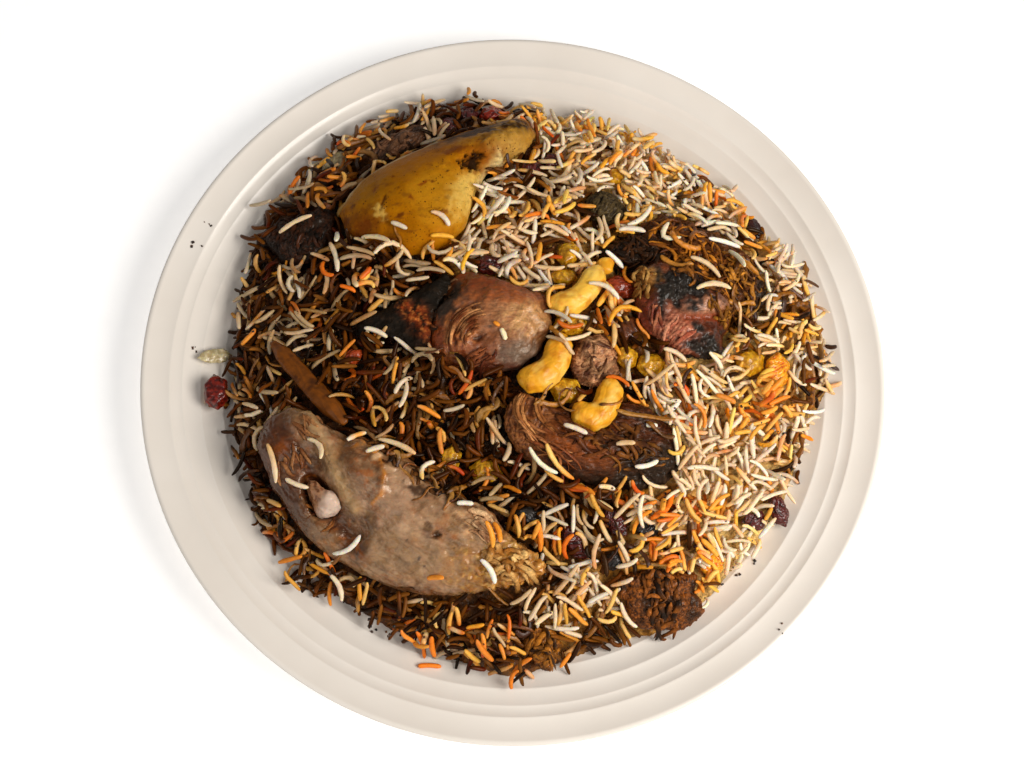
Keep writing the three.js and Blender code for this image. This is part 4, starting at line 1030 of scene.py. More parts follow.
# Smaller cuts about the heap: the same torn meat, each in its own tones, with its own tufts
small_cuts = [
    ("lamb_chunk_cut", "lamb_chunk", "lamb_meat", 35, "a8745c", "e0b89c", "4a2418", 16),
    ("lamb_front_right_cut", "lamb_front_right", "lamb_brown", -80, "44200e", "a8682c", "140a06", 46),
    ("lamb_shred_front_cut", "lamb_shred_front", "lamb_brown", 70, "6a3a12", "b87c2c", "241004", 18),
    ("lamb_behind_potato_cut", "lamb_behind_potato", "lamb_meat", 35, "5e4238", "94705e", "24140e", 9),
    # Painted shade in part: the cut at the far left is near black, partly dark meat and partly the shade it
    # lies in.
    ("lamb_dark_left_cut", "lamb_dark_left", "lamb_skin", 60, "140a06", "4a2612", "080403", 24),
]
for seed, (name, node, slot, turn, tone, light, dark, tufts) in enumerate(small_cuts):
    cut = grown(name, node, 1.0, 5)
    at = places_of(cut)
    fibre = threads(at, turn, 0.9, 5, 70 + seed, 3)
    puff(cut, at, 0.4 * fibre + 1.1 * cloud(at, 4.5, 80 + seed, 4))
    coat = tones(len(at), tone)
    wash(coat, 0.8 * held(fibre), light)
    wash(coat, 0.8 * held(-fibre), dark)
    wash(coat, 0.8 * held(cloud(at, 8, 90 + seed) * 2), dark)
    put_coat(cut, coat * BROWNED, 0.15)
    dress(cut, roasted(name + "_finish", turn, 0.2), slot, node)
    low, high = at.min(0), at.max(0)
    tear(tufts, (low + high)[:2] / 2, (high - low)[:2] * 0.36, turn, 40, (4, 11), (0.7, 1.3), dark, light,
         0, 1.2)

meat_fibres = rods("torn_meat_fibres", torn)
meat_fibres.data.materials.append(roasted("torn_fibre_finish", 0, 0.22, 900, 1, 0.0003, flecked=0.7))
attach(meat_fibres, "root")


# Bones: the bare rib, brown and dry, and the white knuckle that shows in the joint's groove
rib = grown("rib_bone_stick", "rib_bone", 0.8, 8)
at = places_of(rib)
grain_line = threads(at, -52, 2.8, 30, 91)
puff(rib, at, 0.1 * grain_line + 0.3 * cloud(at, 7, 92))
coat = tones(len(at), "6a3e10")
wash(coat, 0.5 * held(grain_line), "8a5010")
wash(coat, 0.8 * held(cloud(at, 5, 93, 3) * 1.5), "3c1e0c")
put_coat(rib, coat * BROWNED, 0.2)
dress(rib, roasted("rib_bone_finish", -52, 0.3, 400, 3, 0.0001, flecked=0.4), "bone", "rib_bone")

knuckle = grown("knuckle_end", "joint_knuckle", 0.7, 8)
at = places_of(knuckle)
shaft = 1 / (1 + np.exp(np.clip((at[:, 0] + 79.5 - 0.6 * (at[:, 1] + 62)) * 1.1, -30, 30)))
puff(knuckle, at, 0.5 * cloud(at, 4, 95, 2) - 1.6 * shaft)
coat = tones(len(at), "d8beaa")
wash(coat, 0.5 * held(cloud(at, 5, 96, 2) * 2), "b08c78")
wash(coat, 0.9 * shaft, "b47c50")
wash(coat, 0.8 * shaft * held(cloud(at, 3, 97, 3) * 2), "643010")
put_coat(knuckle, coat, 0.0)
dress(knuckle, roasted("knuckle_finish", 0, 0.12, 400, 1, 0.0001, 0.3, 0.15), "knuckle", "joint_knuckle")


# Potato: one peeled wedge, boiled in the broth and stained gold by it, with browned edges, a burnt
# hollow and specks of spice. It is soft, so its cut edges are rounded.
potato = grown("potato_piece", "potato_wedge", 1.2, 4)
at = places_of(potato)
hollow = spot(at, -18.5, 86, 4.8, 2.8, 30, 0.7, 101, 4)
cut_edge = strip(at, (-15.5, 77), (-7.5, 91), 1.3)
lift = 0.5 * cloud(at, 16, 102, 3) + 0.12 * cloud(at, 3, 103, 2) - 2.2 * hollow
lift += 0.6 * cut_edge - 0.6 * strip(at, (-57.5, 62), (-55.5, 67.5), 0.7)
lift -= 0.5 * spot(at, -66, 62, 9, 12, 30, 0.3, 120)
lift += spot(at, -2, 97, 12, 8, 30, 0.2, 104) * (2.2 + 0.7 * cloud(at, 2, 105, 3))
puff(potato, at, lift)
top_edge = strip(at, (-34, 97), (-15, 102.5), 3.4) + 1.3 * strip(at, (-15, 102.5), (12, 110), 6)
coat = tones(len(at), "aa6602")
wash(coat, 0.6 * held(cloud(at, 14, 114, 3)), "c4840c")
blot(coat, at, [
    (0.8, (-28, 68, 17, 15, 0, 0.3, 106), "cc8c18"), (0.8, (-19, 72, 6, 12, -28, 0.4, 115), "f0c864"),
    (0.7, (-66, 74, 12, 15, 40, 0.3, 107), "a06a10"), (0.85, (-67, 57, 12, 7, -20, 0.5, 108), "6e3a0a"),
    (0.7, (-36, 91, 16, 7, 28, 0.5, 111), "9a5e10"), (0.7, (-1, 97, 11, 9, 30, 0.4, 109), "d8ac58"),
    (0.6, (-8, 99, 14, 4, 14, 0.5, 116), "c8902c"),
])
wash(coat, 0.95 * held(top_edge * (0.75 + 0.7 * cloud(at, 3.5, 110, 3))), "241006")
blot(coat, at, [
    (0.85, (-25.8, 90.8, 4.6, 1.8, 20, 0.9, 112), "6e340c"),
    (0.7, (-33, 91.5, 2.6, 1.2, 20, 0.9, 117), "7a4410"), (0.85, (-15, 88, 8, 5, 30, 0.7, 113), "8c4c0e"),
])
wash(coat, 0.97 * hollow, "1a0a04")
wash(coat, 0.85 * strip(at, (-57.5, 62), (-55.5, 67.5), 0.7), "5a2a08")
wash(coat, 0.9 * cut_edge, "f8dc98")
pale_edge = strip(at, (-74, 70), (-66, 82), 1.1) + strip(at, (-66, 82), (-34, 98), 0.9)
pale_edge *= held((at[:, 2] - 33) / 4)
wash(coat, 0.7 * held(pale_edge), "d8c49c")
pepper = held(cloud(at, 1.1, 118, 2) * 5 - 3.2) + held(cloud(at, 2.4, 119, 2) * 5 - 4.2)
dusted = held(0.3 + cloud(at, 14, 121, 2))
scuffed = held(cloud(at, (5, 2, 3), 122, 4) * 4 - 1.3)
for x, y, wide, tall, tone in ((-65, 55, 5, 2.4, "6a3208"), (-69.6, 65.6, 1.3, 0.9, "52260a"),
                               (-73, 60, 1.5, 2.4, "5a2c0a"), (-48.6, 58.5, 1.7, 0.8, "5a2408"),
                               (-39, 73, 2.4, 0.7, "8a3c0c"), (-35.5, 74, 1.0, 0.7, "6a2c0a"),
                               (-28.8, 79.5, 0.8, 0.6, "4a1e08"), (-57.6, 61, 2.0, 3.2, "d8ac50"),
                               (-52, 77, 0.9, 0.6, "6a300c"), (-44, 66, 0.7, 1.5, "7a380c"),
                               (-60, 72, 1.1, 0.8, "7a3c10"), (-30, 60, 1.5, 1.0, "8a4c14")):
    wash(coat, 0.85 * spot(at, x, y, wide, tall, 30, 0.9, 123), tone)
wash(coat, 0.8 * scuffed * dusted, "7a4410")
wash(coat, 0.9 * pepper * dusted, "4c2208")
put_coat(potato, coat)

gold = Finish("stewed_potato")
coat_colour = gold.coat()
flesh_cloud = gold.cloudy(60, 4)
mealy = gold.cloudy(900, 3, 0.7)
pepper_dust = gold.node("TexVoronoi", {"Vector": gold.spot(), "Scale": 1100.0}, feature="F1")
grain_size = gold.node("SeparateColor", {"Color": pepper_dust.outputs["Color"]}).outputs[0]
grain_size = gold.reckon("POWER", grain_size, 3.0)
grain_size = gold.reckon("MULTIPLY", grain_size, 0.44)
pepper_mark = gold.reckon("LESS_THAN", pepper_dust.outputs["Distance"], grain_size)
strewn = gold.steps(gold.cloudy(70, 3), (0.44, 0.0), (0.56, 0.95))
pepper_mark = gold.reckon("MULTIPLY", pepper_mark, strewn)
tone = gold.mixed(0.8, coat_colour, gold.steps(flesh_cloud, (0.35, 0.84), (0.65, 1.08)), "MULTIPLY")
tone = gold.mixed(0.5, tone, gold.steps(mealy, (0.35, 0.82), (0.65, 1.08)), "MULTIPLY")
gold.feed(gold.skin, {
    "Base Color": gold.mixed(pepper_mark, tone, "4a2408"),
    "Roughness": gold.steps(mealy, (0.3, 0.34), (0.7, 0.55)),
    "Normal": gold.relief(mealy, 0.00025, gold.relief(flesh_cloud, 0.0006)),
    "Subsurface Weight": 0.2,
    "Subsurface Radius": (0.006, 0.003, 0.001),
    "Subsurface Scale": 0.7,
    "Specular IOR Level": 0.06,
    "Specular Tint": (1.0, 0.75, 0.45, 1),
})
dress(potato, gold.material, "potato", "potato_wedge")


# Dried lime: a whole lime boiled in brine and dried till black-brown, here cooked in the pot. It is
# shrunk hard, its skin drawn into folds, and lies half sunk behind the lamb.
lime = grown("dried_lime_fruit", "dried_lime", 0.9, 5)
at = places_of(lime)
wrinkle = threads(at, 50, 1.6, 6, 121)
puff(lime, at, 0.7 * wrinkle + 0.5 * cloud(at, 5, 122))
coat = tones(len(at), "2e2210")
wash(coat, 0.8 * held(wrinkle), "5c4a28")
wash(coat, 0.8 * held(-wrinkle), "120c06")
put_coat(lime, coat, 0.35)
dress(lime, roasted("dried_lime_finish", 50, 0.3), "dried_lime", "dried_lime")


# Cashews: fried whole to a golden yellow, curved, fatter at one end, with a fold on the inside
nut_finish = Finish("fried_cashew")
nut_coat = nut_finish.coat()
nut_cloud = nut_finish.cloudy(160, 3)
nut_fine = nut_finish.cloudy(900, 3)
nut_finish.feed(nut_finish.skin, {
    "Base Color": nut_finish.mixed(0.8, nut_coat, nut_finish.steps(nut_cloud, (0.3, 0.85), (0.7, 1.1)),
                                   "MULTIPLY"),
    "Roughness": nut_finish.steps(nut_cloud, (0.3, 0.3), (0.7, 0.45)),
    "Normal": nut_finish.relief(nut_fine, 0.00006, nut_finish.relief(nut_cloud, 0.0002)),
    "Subsurface Weight": 0.2,
    "Subsurface Radius": (0.003, 0.002, 0.0008),
    "Specular IOR Level": 0.35,
})
for seed, node in enumerate(["cashew_top", "cashew_middle", "cashew_lower", "cashew_half"]):
    nut = grown(node + "_nut", node, 0.7, 3)
    at = places_of(nut)
    crease = held(threads(at, 30 * seed, 2.4, 9, 131 + seed) - 0.6)
    puff(nut, at, 0.25 + 0.3 * cloud(at, 6, 130 + seed, 2) - 0.35 * crease)
    # Painted light: the top nut is given a paler coat than the others, standing for more light falling on it.
    coat = tones(len(at), "ffc648" if node == "cashew_top" else "f4ac24")
    wash(coat, 0.7 * held(cloud(at, 5, 140 + seed, 3) * 1.6), "d07c10")
    wash(coat, 0.6 * held(cloud(at, 7, 150 + seed, 2) * 2), "ffd468")
    put_coat(nut, coat)
    dress(nut, nut_finish.material, "cashew", node)


# Raisins: golden ones swollen and clear, red and dark ones wrinkled; all glisten with fat. The
# black spice berries, burnt scraps, tomato and glazed onion are made the same way.
def fruit_finish(name, clear, wet, lumpy=260):
    """Skin over pulp: how clear the pulp is, how wet the skin, and how fine its lumps are"""
    fruit = Finish(name)
    coat = fruit.coat()
    pulp = fruit.cloudy(lumpy, 3)
    fine = fruit.cloudy(800, 3)
    fruit.feed(fruit.skin, {
        "Base Color": fruit.mixed(0.9, coat, fruit.steps(pulp, (0.3, 0.7), (0.55, 1.0), (0.75, 1.25)),
                                  "MULTIPLY"),
        "Roughness": fruit.steps(pulp, (0.3, wet), (0.7, wet + 0.16)),
        "Normal": fruit.relief(fine, 0.0003, fruit.relief(pulp, 0.0006)),
        "Subsurface Weight": clear,
        "Subsurface Radius": (0.006, 0.0035, 0.001),
        "Coat Weight": 0.5,
        "Coat Roughness": 0.12,
        "Specular IOR Level": 0.3,
    })
    return fruit.material


golden_finish = fruit_finish("golden_raisin_skin", 0.6, 0.24, 520)
red_finish = fruit_finish("red_raisin_skin", 0.3, 0.16)
dark_finish = fruit_finish("dark_raisin_skin", 0.05, 0.22)
burnt_finish = fruit_finish("burnt_crust", 0.0, 0.45)
onion_finish = fruit_finish("onion_flesh", 0.3, 0.2)
fruits = [(f"golden_raisin_{i}", "golden_raisin", golden_finish, "b87e08", "ecb424", 0.2)
          for i in range(1, 13) if i not in (8, 11)]
fruits += [(f"golden_raisin_{i}", "golden_raisin", golden_finish, "e06a04", "ffb820", 0.5) for i in (8, 11)]
fruits += [("red_raisin_left", "red_raisin", red_finish, "4c0c06", "8e2210", 0.3),
           ("red_raisin_far", "red_raisin", red_finish, "641008", "a83014", 0.4)]
fruits += [(f"dark_raisin_{i}", "dark_raisin", dark_finish, "2c0e0a", "64201a", 0.8) for i in range(1, 11)]
fruits += [(f"black_spice_{i}", "burnt", burnt_finish, "100c0a", "2a211c", 0.8) for i in range(1, 4)]
fruits += [("burnt_scrap_far", "burnt", burnt_finish, "14100e", "2e2622", 0.9),
           ("burnt_scrap_right", "burnt", burnt_finish, "120a08", "3c1410", 0.9)]
fruits += [("tomato_piece_1", "tomato", red_finish, "6e2410", "b04420", 0.6),
           ("tomato_piece_2", "tomato", red_finish, "7e2c10", "b84a1c", 0.6),
           ("tomato_piece_3", "tomato", red_finish, "5c1c0e", "9a3418", 0.6),
           ("glazed_onion", "glazed_onion", dark_finish, "3c1c0c", "6e3a1a", 0.5)]
fruits += [("onion_petal_left", "pale_onion", onion_finish, "b8a478", "ddcfa6", 0.3),
           ("onion_petal_far", "pale_onion", onion_finish, "b49c60", "e0d2a2", 0.3),
           ("onion_petal_behind", "pale_onion", onion_finish, "a8946a", "d2c496", 0.3)]
for seed, (node, slot, material, deep_tone, light_tone, wrinkled) in enumerate(fruits):
    fruit = grown(node + "_piece", node, 0.5 if "raisin" in node else 0.7, 4)
    at = places_of(fruit)
    folds = threads(at, chance.uniform(0, 180), 1.7, 6, 160 + seed)
    folds = folds if wrinkled > 0.35 else 1.4 * cloud(at, 1.8, 160 + seed, 2)
    puff(fruit, at, wrinkled * (0.55 * folds + 0.45 * cloud(at, 2.6, 200 + seed, 2)))
    coat = tones(len(at), deep_tone)
    wash(coat, 0.9 * held(folds * 0.8 + 0.3), light_tone)
    put_coat(fruit, coat)
    dress(fruit, material, slot, node)

# Fried onion, the two thickest strips: curved, brown at their ends, lying loose on the heap
for node in ("fried_onion_1", "fried_onion_2"):
    strand = grown(node + "_strip", node, 0.7, 4)
    at = places_of(strand)
    puff(strand, at, 0.6 * cloud(at, 3, 240, 3))
    coat = tones(len(at), "9a5c14")
    wash(coat, 0.8 * held(cloud(at, 3, 241, 3) * 2), "4a260c")
    put_coat(strand, coat, 0.1)
    dress(strand, roasted(node + "_finish", 0, 0.25), "fried_onion", node)


# Loose rice: long slender grains, shaken over the heap and fallen where they would lie. White
# from the top of the pot, yellow and orange from the saffron, brown from the spiced layer.
bare_top = np.maximum(ground, plate_top)
near_topping = soften((carried > bare_top + 0.4).astype(float), 1.5)
open_cells = np.argwhere((heap_mask > 0.5) & (near_topping < 0.45))
top_cells = np.argwhere((heap_mask > 0.44) & (near_topping < 0.75))
edge_cells = np.argwhere((heap_mask > 0.08) & (heap_mask < 0.5))
foot_cells = np.argwhere((heap_mask > 0.36) & (ground - plate_top < 8.5) & (near_topping < 0.8))
KINDS = ("white", "yellow", "orange", "brown")
laid = {kind: [] for kind in KINDS}
drift = soften(np.random.RandomState(31).normal(size=net_x.shape), 6) * 95
clumps = [soften(np.random.RandomState(41 + k).normal(size=net_x.shape), 5) * 34 for k in range(4)]
clumps = np.stack(clumps, -1)
BASE_TONES = {
    "white": ["f8e7ca", "f8ddb4", "faf0de", "f2d2a4", "f8e2c2"], "yellow": ["ffbe4c", "ffd07a", "ffb02c"],
    "orange": ["f89a2c", "f07a14", "ffb040"], "brown": ["3c1e06", "5e3008", "1e0e06", "8a5010"],
}
STAIN_TONES = {
    "white": ["ffc040", "f09c48", "ffa82c", "e8b878"], "yellow": ["fde8c0", "ff8c10", "fbe2b0"],
    "orange": ["ffcc68", "d84a08", "ffe4b0"], "brown": ["8e4c10", "120803", "bc782c", "7a260a"],
}
GIRTH_TOP = np.array([0.6, 0.9, 1.0, 1.03, 1.0, 0.88, 0.52])
GIRTH_UNDER = np.array([0.75, 1.0, 1.0, 0.7])


def stained(bases, stains, rings, often=0.6, vary=0.1, soak_and_shade=0.0):
    """Colours along one grain: its own tone, often a stain over one end, darker where oil soaks it and where
    shade is painted on the dark parts of the heap
    """
    first, second = [np.array(shade(bases[chance.randint(len(bases))])) for _ in range(2)]
    tone = (first + (second - first) * chance.uniform(0, 0.5)) * (1 + chance.normal(0, vary))
    rows = np.tile(tone, (rings, 1))
    if chance.uniform() < often:
        stain = np.array(shade(stains[chance.randint(len(stains))]))
        middle, reach = chance.uniform(-0.3, 1.3), chance.uniform(0.25, 0.9)
        amount = held(1.2 - np.abs(np.linspace(0, 1, rings) - middle) / reach)
        rows += (stain - rows) * amount[:, None] * chance.uniform(0.3, 1)
    return rows * (1 - held(soak_and_shade) * np.array([0.5, 0.6, 0.74]))


def add_grain(kind, px, py, pz, wide, soak_and_shade, girth, often=0.5):
    """A grain kept where it lies, in its own colours; the next ones come to rest on it"""
    press_into(carried, px, py, pz, wide)
    girth = girth * wide * (1 + chance.normal(0, 0.06, len(girth)))
    rows = stained(BASE_TONES[kind], STAIN_TONES[kind], len(girth), often, 0.09, soak_and_shade)
    laid[kind].append((np.stack([px, py, pz], -1), girth, chance.uniform(0.62, 0.86), 0 * girth, rows))


def lay(kind, x, y, turn, length, bend, hook, wide, soak_and_shade, under=False, steepest=0.7, most=99.0):
    """A grain dropped at a spot; it is kept unless it would stand too high over the heap"""
    px, py, along = curl(x, y, turn, length, bend, hook)
    pz = come_to_rest(carried, px, py, along, wide, steepest)
    if pz.mean() - look_up(ground, np.array([x]), np.array([y]))[0] <= most:
        add_grain(kind, px, py, pz, wide, soak_and_shade, GIRTH_UNDER if under else GIRTH_TOP)


def any_spot(cells):
    """A spot of the plan in one of the cells, taken by chance"""
    row, column = cells[chance.randint(len(cells))]
    return ticks[column] + chance.uniform(-0.25, 0.25), ticks[row] + chance.uniform(-0.25, 0.25)


def shake(kind, x, y, fine, soak_and_shade, under, most):
    """One loose grain of a kind at a spot, as long and bent as its kind is, often beside its like"""
    length = (chance.uniform(9, 15.5) if kind == "white" else chance.uniform(8, 13)) * (1 - 0.55 * fine)
    bend = chance.normal(0, 0.45) if chance.uniform() < 0.5 else chance.normal(0, 1.4)
    bend = np.clip(bend, -2.8, 2.8) * (1 - 0.4 * fine)
    wide = chance.uniform(0.78, 1.1) * (1 - 0.12 * fine)
    turn = chance.uniform(0, math.pi)
    if chance.uniform() < 0.6:
        turn = look_up(drift, np.array([x]), np.array([y]))[0] + chance.normal(0, 0.35)
    steepest = 1.5 if chance.uniform() < 0.1 else 0.75
    lay(kind, x, y, turn, length, bend, chance.normal(0, 0.5), wide, soak_and_shade, under, steepest, most)


# Painted shade in part: grains in the dark parts of the heap are darkened, white ones most; partly the oil
# soaked into them, partly shade painted on those parts of the heap.
SOAK_AND_SHADE = {"white": 1.5, "yellow": 1.0, "orange": 0.9, "brown": 1.75}


def kind_at(x, y, shares):
    """A kind of grain for a spot: like ones lie in clumps"""
    clumped = shares * (1, 0.8, 0.75, 1) * np.exp(look_up(clumps, np.array([x]), np.array([y]))[0])
    return KINDS[chance.choice(4, p=clumped / clumped.sum())]


GRAINS_BELOW = 4600
for _ in range(GRAINS_BELOW):
    x, y = any_spot(open_cells)
    _, kinds, _, fine, pale = here(x, y)
    below = kinds * (0.25 + 1.1 * pale) + np.array([0, 0.05, 0.03, 0.75]) * max(0, 1 - 1.3 * pale)
    shake(kind_at(x, y, below), x, y, fine, 0.2 + 0.65 * max(0, 1 - 1.3 * pale), True, 6)

# Fried onion: brown shreds, flat and curled, tangled in among the grains
shreds = []
ONION_GIRTH = np.array([0.5, 0.9, 1, 0.95, 1, 0.9, 1, 0.85, 0.5])
ONION_TONES = ("7a4010", "a0601a", "46220a", "c07c20")


def lay_shred(x, y, turn, length, bend, wide, waves, flat=0.35, bases=ONION_TONES):
    """A shred draped over what lies there; one that would stand up on edge is left out"""
    px, py, _ = curl(x, y, turn, length, bend, chance.normal(0, 0.6), 11)
    wander = waves * np.sin(np.linspace(0, chance.uniform(3, 9), 11) + chance.uniform(0, 6))
    px, py = px - wander * math.sin(turn), py + wander * math.cos(turn)
    rest = drape(px, py, wide * flat)
    if np.ptp(rest) > 0.35 * length + 1.2:
        return
    press_into(carried, px, py, rest, wide * 0.7)
    girth = ONION_GIRTH * wide * (1 + chance.normal(0, 0.16, 9))
    roll = chance.uniform(-0.7, 0.7) + np.linspace(0, chance.normal(0, 1.0), 9)
    rows = stained(bases, ["2c1408", "c08a3c"], 9, 0.8, 0.15)
    shreds.append((np.stack([px, py, rest], -1), girth, flat, roll, rows))


ONION_SHREDS = 620
for _ in range(ONION_SHREDS):
    x, y = any_spot(open_cells)
    if chance.uniform() < here(x, y)[2]:
        lay_shred(x, y, chance.uniform(0, math.pi), chance.uniform(7, 22), chance.normal(0, 1.6),
                  chance.uniform(0.7, 1.5), chance.uniform(0, 1.5))

TOP_TRIES = 13000
MOST_OVER = 8.8
for _ in range(TOP_TRIES):
    x, y = any_spot(top_cells)
    cover, kinds, _, fine, pale = here(x, y)
    if chance.uniform() < cover:
        kind = kind_at(x, y, kinds)
        if kind == "white" and chance.uniform() > 0.72 + pale:
            kind = "brown"
        soak_and_shade = max(0, 0.56 - 0.8 * pale) * chance.uniform(0.4, 1.3) * SOAK_AND_SHADE[kind]
        shake(kind, x, y, fine, soak_and_shade, False, MOST_OVER)

# Rice is banked up against the potato, the joint and the other meat, and hides where they stand:
# line in plan, how wide, how many tries, how high over the core, and how much of it is onion
BANKS = [
    (-68, 50, -22, 44, 3.5, 330, 15, 0.05), (-12, 66, -2, 92, 3.5, 160, 13, 0.1),
    (-62, -34, -22, -62, 3, 200, 12, 0.5), (-36, -2, -6, -17, 2.5, 110, 13, 0.4),
    (14, 22, 18, 2, 2.5, 60, 12, 0.1), (-112, -38, -98, -72, 3, 90, 12, 0.3),
    (-90, -86, -40, -102, 3, 130, 12, 0.4), (62, -10, 88, -12, 3, 110, 13, 0.1),
    (97, 8, 100, 34, 3.5, 120, 12, 0.4), (16, -52, 52, -66, 3, 110, 12, 0.1),
    (70, -30, 74, -52, 3, 90, 12, 0.1), (6, 108, 16, 108, 3, 60, 11, 0.2),
]
for x0, y0, x1, y1, spread, tries, most, onion in BANKS:
    for _ in range(tries):
        t = chance.uniform()
        x, y = x0 + (x1 - x0) * t + chance.normal(0, spread), y0 + (y1 - y0) * t + chance.normal(0, spread)
        _, kinds, _, fine, pale = here(x, y)
        kind = kind_at(x, y, kinds)
        if chance.uniform() < 0.4 * onion:
            lay_shred(x, y, chance.uniform(0, math.pi), chance.uniform(6, 14), chance.normal(0, 1.4),
                      chance.uniform(0.6, 1.2), 0.6)
        else:
            shake(kind, x, y, fine, max(0, 0.5 - 0.8 * pale) * SOAK_AND_SHADE[kind], False, most)

# Broken grains and bits fill what lies open between them, most of all at the edge of the heap
BROKEN_TRIES = 2600
FOOT_TRIES = 2400
EDGE_TRIES = 190
for _ in range(BROKEN_TRIES):
    x, y = any_spot(top_cells)
    _, kinds, _, fine, pale = here(x, y)
    if chance.uniform() < 0.35 + fine:
        kind = kind_at(x, y, kinds)
        lay(kind, x, y, chance.uniform(0, 3), chance.uniform(2.4, 6), chance.normal(0, 0.6), 0,
            chance.uniform(0.8, 1.25), max(0, 0.6 - 0.9 * pale) * SOAK_AND_SHADE[kind], True, 0.8, 6.8)
for _ in range(FOOT_TRIES):
    x, y = any_spot(foot_cells)
    _, kinds, _, fine, pale = here(x, y)
    kind = kind_at(x, y, kinds)
    turn = math.atan2(y, x) + math.pi / 2 + chance.normal(0, 0.8)
    lay(kind, x, y, turn, chance.uniform(5, 10) * (1 - 0.4 * fine), chance.normal(0, 0.7), 0,
        chance.uniform(0.8, 1.1), max(0, 0.6 - 0.8 * pale) * SOAK_AND_SHADE[kind], False, 1.6, 5)
for _ in range(EDGE_TRIES):
    x, y = any_spot(edge_cells)
    _, kinds, _, fine, pale = here(x, y)
    shake(kind_at(x, y, kinds), x, y, min(1, fine + 0.3), max(0, 0.4 - 0.7 * pale), False, 9)

# Where the saffron water was poured, grains cling together in bright tufts: spot, way, and count
SAFFRON_TUFTS = [
    (108, -14, 0.6, 16), (114, -19, 2.4, 9), (90, -17, 0.3, 12), (74, -16, 1.0, 7), (52, -64, 0.9, 12),
    (59, -69, 0.5, 9), (80, -82, 2.2, 14), (62, -87, 0.4, 7), (34, 110, 1.8, 10), (45, 94, 1.3, 7),
    (57, 104, 0.3, 7), (18, 69, 1.2, 8), (-12, 65, 2.0, 8), (-65, 32, 0.8, 5), (28, -95, 0.7, 7),
    (10, -78, 1.4, 8), (-36, -118, 2.6, 6), (-14, -124, 2.3, 8), (96, -30, 0.5, 6), (40, 22, 1.6, 5),
]
for x, y, way, count in SAFFRON_TUFTS:
    for _ in range(count + 3):
        turn = way + chance.normal(0, 0.45)
        out_along = chance.uniform(0, 4)
        kind = "orange" if chance.uniform() < 0.55 else "yellow"
        lay(kind, x + chance.normal(0, 2.2) + out_along * math.cos(turn),
            y + chance.normal(0, 2.2) + out_along * math.sin(turn), turn, chance.uniform(6, 11.5),
            chance.normal(0, 0.7), chance.normal(0, 0.5), chance.uniform(0.9, 1.25), 0, False, 1.0, 13)

# A few dozen grains lie on the meat and the potato, or stand out: kind, from, to, and how bowed
SINGLE_GRAINS = [
    ("W", 82.7, 53.2, 97.5, 53.2, 0.6), ("W", 65.9, 60.1, 70.8, 52.2, -6),
    ("W", 73.8, 41.3, 86.6, 33.4, 2), ("W", 91.6, 49.2, 96.5, 36.4, 1.2),
    ("W", 75.8, 26.5, 90.6, 26.5, 2.6), ("W", 48.1, 60.1, 59, 70.9, -2), ("W", 44.2, 56.1, 56, 56.1, 1),
    ("W", 38.3, 45.3, 46.1, 39.3, 0.6), ("W", 30.4, 27.5, 43.2, 20.6, 2.6),
    ("Y", 39.2, 10.7, 53.1, 16.6, 5), ("W", 61.9, 1.8, 71.8, -3.1, 1.4),
    ("W", 19.5, -34.7, 29.4, -38.6, 0.5), ("W", 41.2, -41.6, 49.1, -41.6, 0.5),
    ("W", 49.1, -49.5, 59, -46.5, -1), ("W", 54, -31.7, 59, -31.7, 0),
    ("W", 5.7, -42.6, 17.5, -53.4, -2), ("Y", 12.6, -41.6, 24.4, -54.4, -2),
    ("W", 34.3, -58.4, 41.2, -58.4, 0.6), ("W", -102.9, -37.6, -98.9, -54.4, 1),
    ("W", -86.1, -36.7, -80.2, -46.5, 3), ("W", -95, -52.4, -85.1, -56.4, -0.6),
    ("W", -75.3, -82.1, -63.4, -76.1, -2.4), ("W", -69.3, -38.6, -61.4, -34.7, 0.6),
    ("W", -61.4, -44.5, -53.5, -42.6, 0.5), ("W", -56.5, -38.6, -40.7, -46.5, 1.2),
    ("W", -32.8, -47.5, -37.7, -56.4, -3), ("W", -23.9, -66.3, -17, -66.3, 0.3),
    ("O", -12.1, -75.1, -9.1, -85, 1), ("O", -9.1, -74.2, -6.2, -83, 1),
    ("W", -14.1, -89, -8.1, -98.8, 1.4), ("O", -35.8, -94.9, -28.9, -95.9, 0.5),
    ("W", -76.2, -89.9, -71.3, -100.8, 1.6), ("O", -39.7, -125.5, -29.9, -125.5, 0.5),
    ("W", -52.6, 55.1, -45.6, 52.2, 0.3), ("W", -35.8, 59.1, -27.9, 53.2, 1.8),
    ("Y", -35.8, 49.2, -25.9, 49.2, 0.8), ("W", -59.5, 40.3, -43.7, 40.3, 6.5),
    ("W", -65.4, 51.2, -52.6, 45.3, 1.6), ("W", -101.9, 60.1, -87.1, 65, 1.2),
    ("W", -79.2, 52.2, -75.3, 37.4, 1), ("W", -76.2, 57.1, -76.2, 50.2, 0.3),
    ("W", -63.4, 10.7, -53.5, 6.8, 1), ("O", -9.1, 8.8, -6.7, 6.8, 0), ("W", -6.2, 5.8, -4.2, 0.9, 0.3),
]
SINGLE_KIND = {"W": "white", "Y": "yellow", "O": "orange"}
for letter, x0, y0, x1, y1, bowed in SINGLE_GRAINS:
    share = np.linspace(0, 1, 9)
    length = math.hypot(x1 - x0, y1 - y0)
    aside = 4 * bowed * share * (1 - share)
    px = x0 + (x1 - x0) * share - aside * (y1 - y0) / length
    py = y0 + (y1 - y0) * share + aside * (x1 - x0) / length
    wide = min(1.1, 0.28 * length)
    pz = come_to_rest(carried, px, py, (share - 0.5) * length, wide, 1.0)
    add_grain(SINGLE_KIND[letter], px, py, pz, wide, 0, GIRTH_TOP, 0.25)

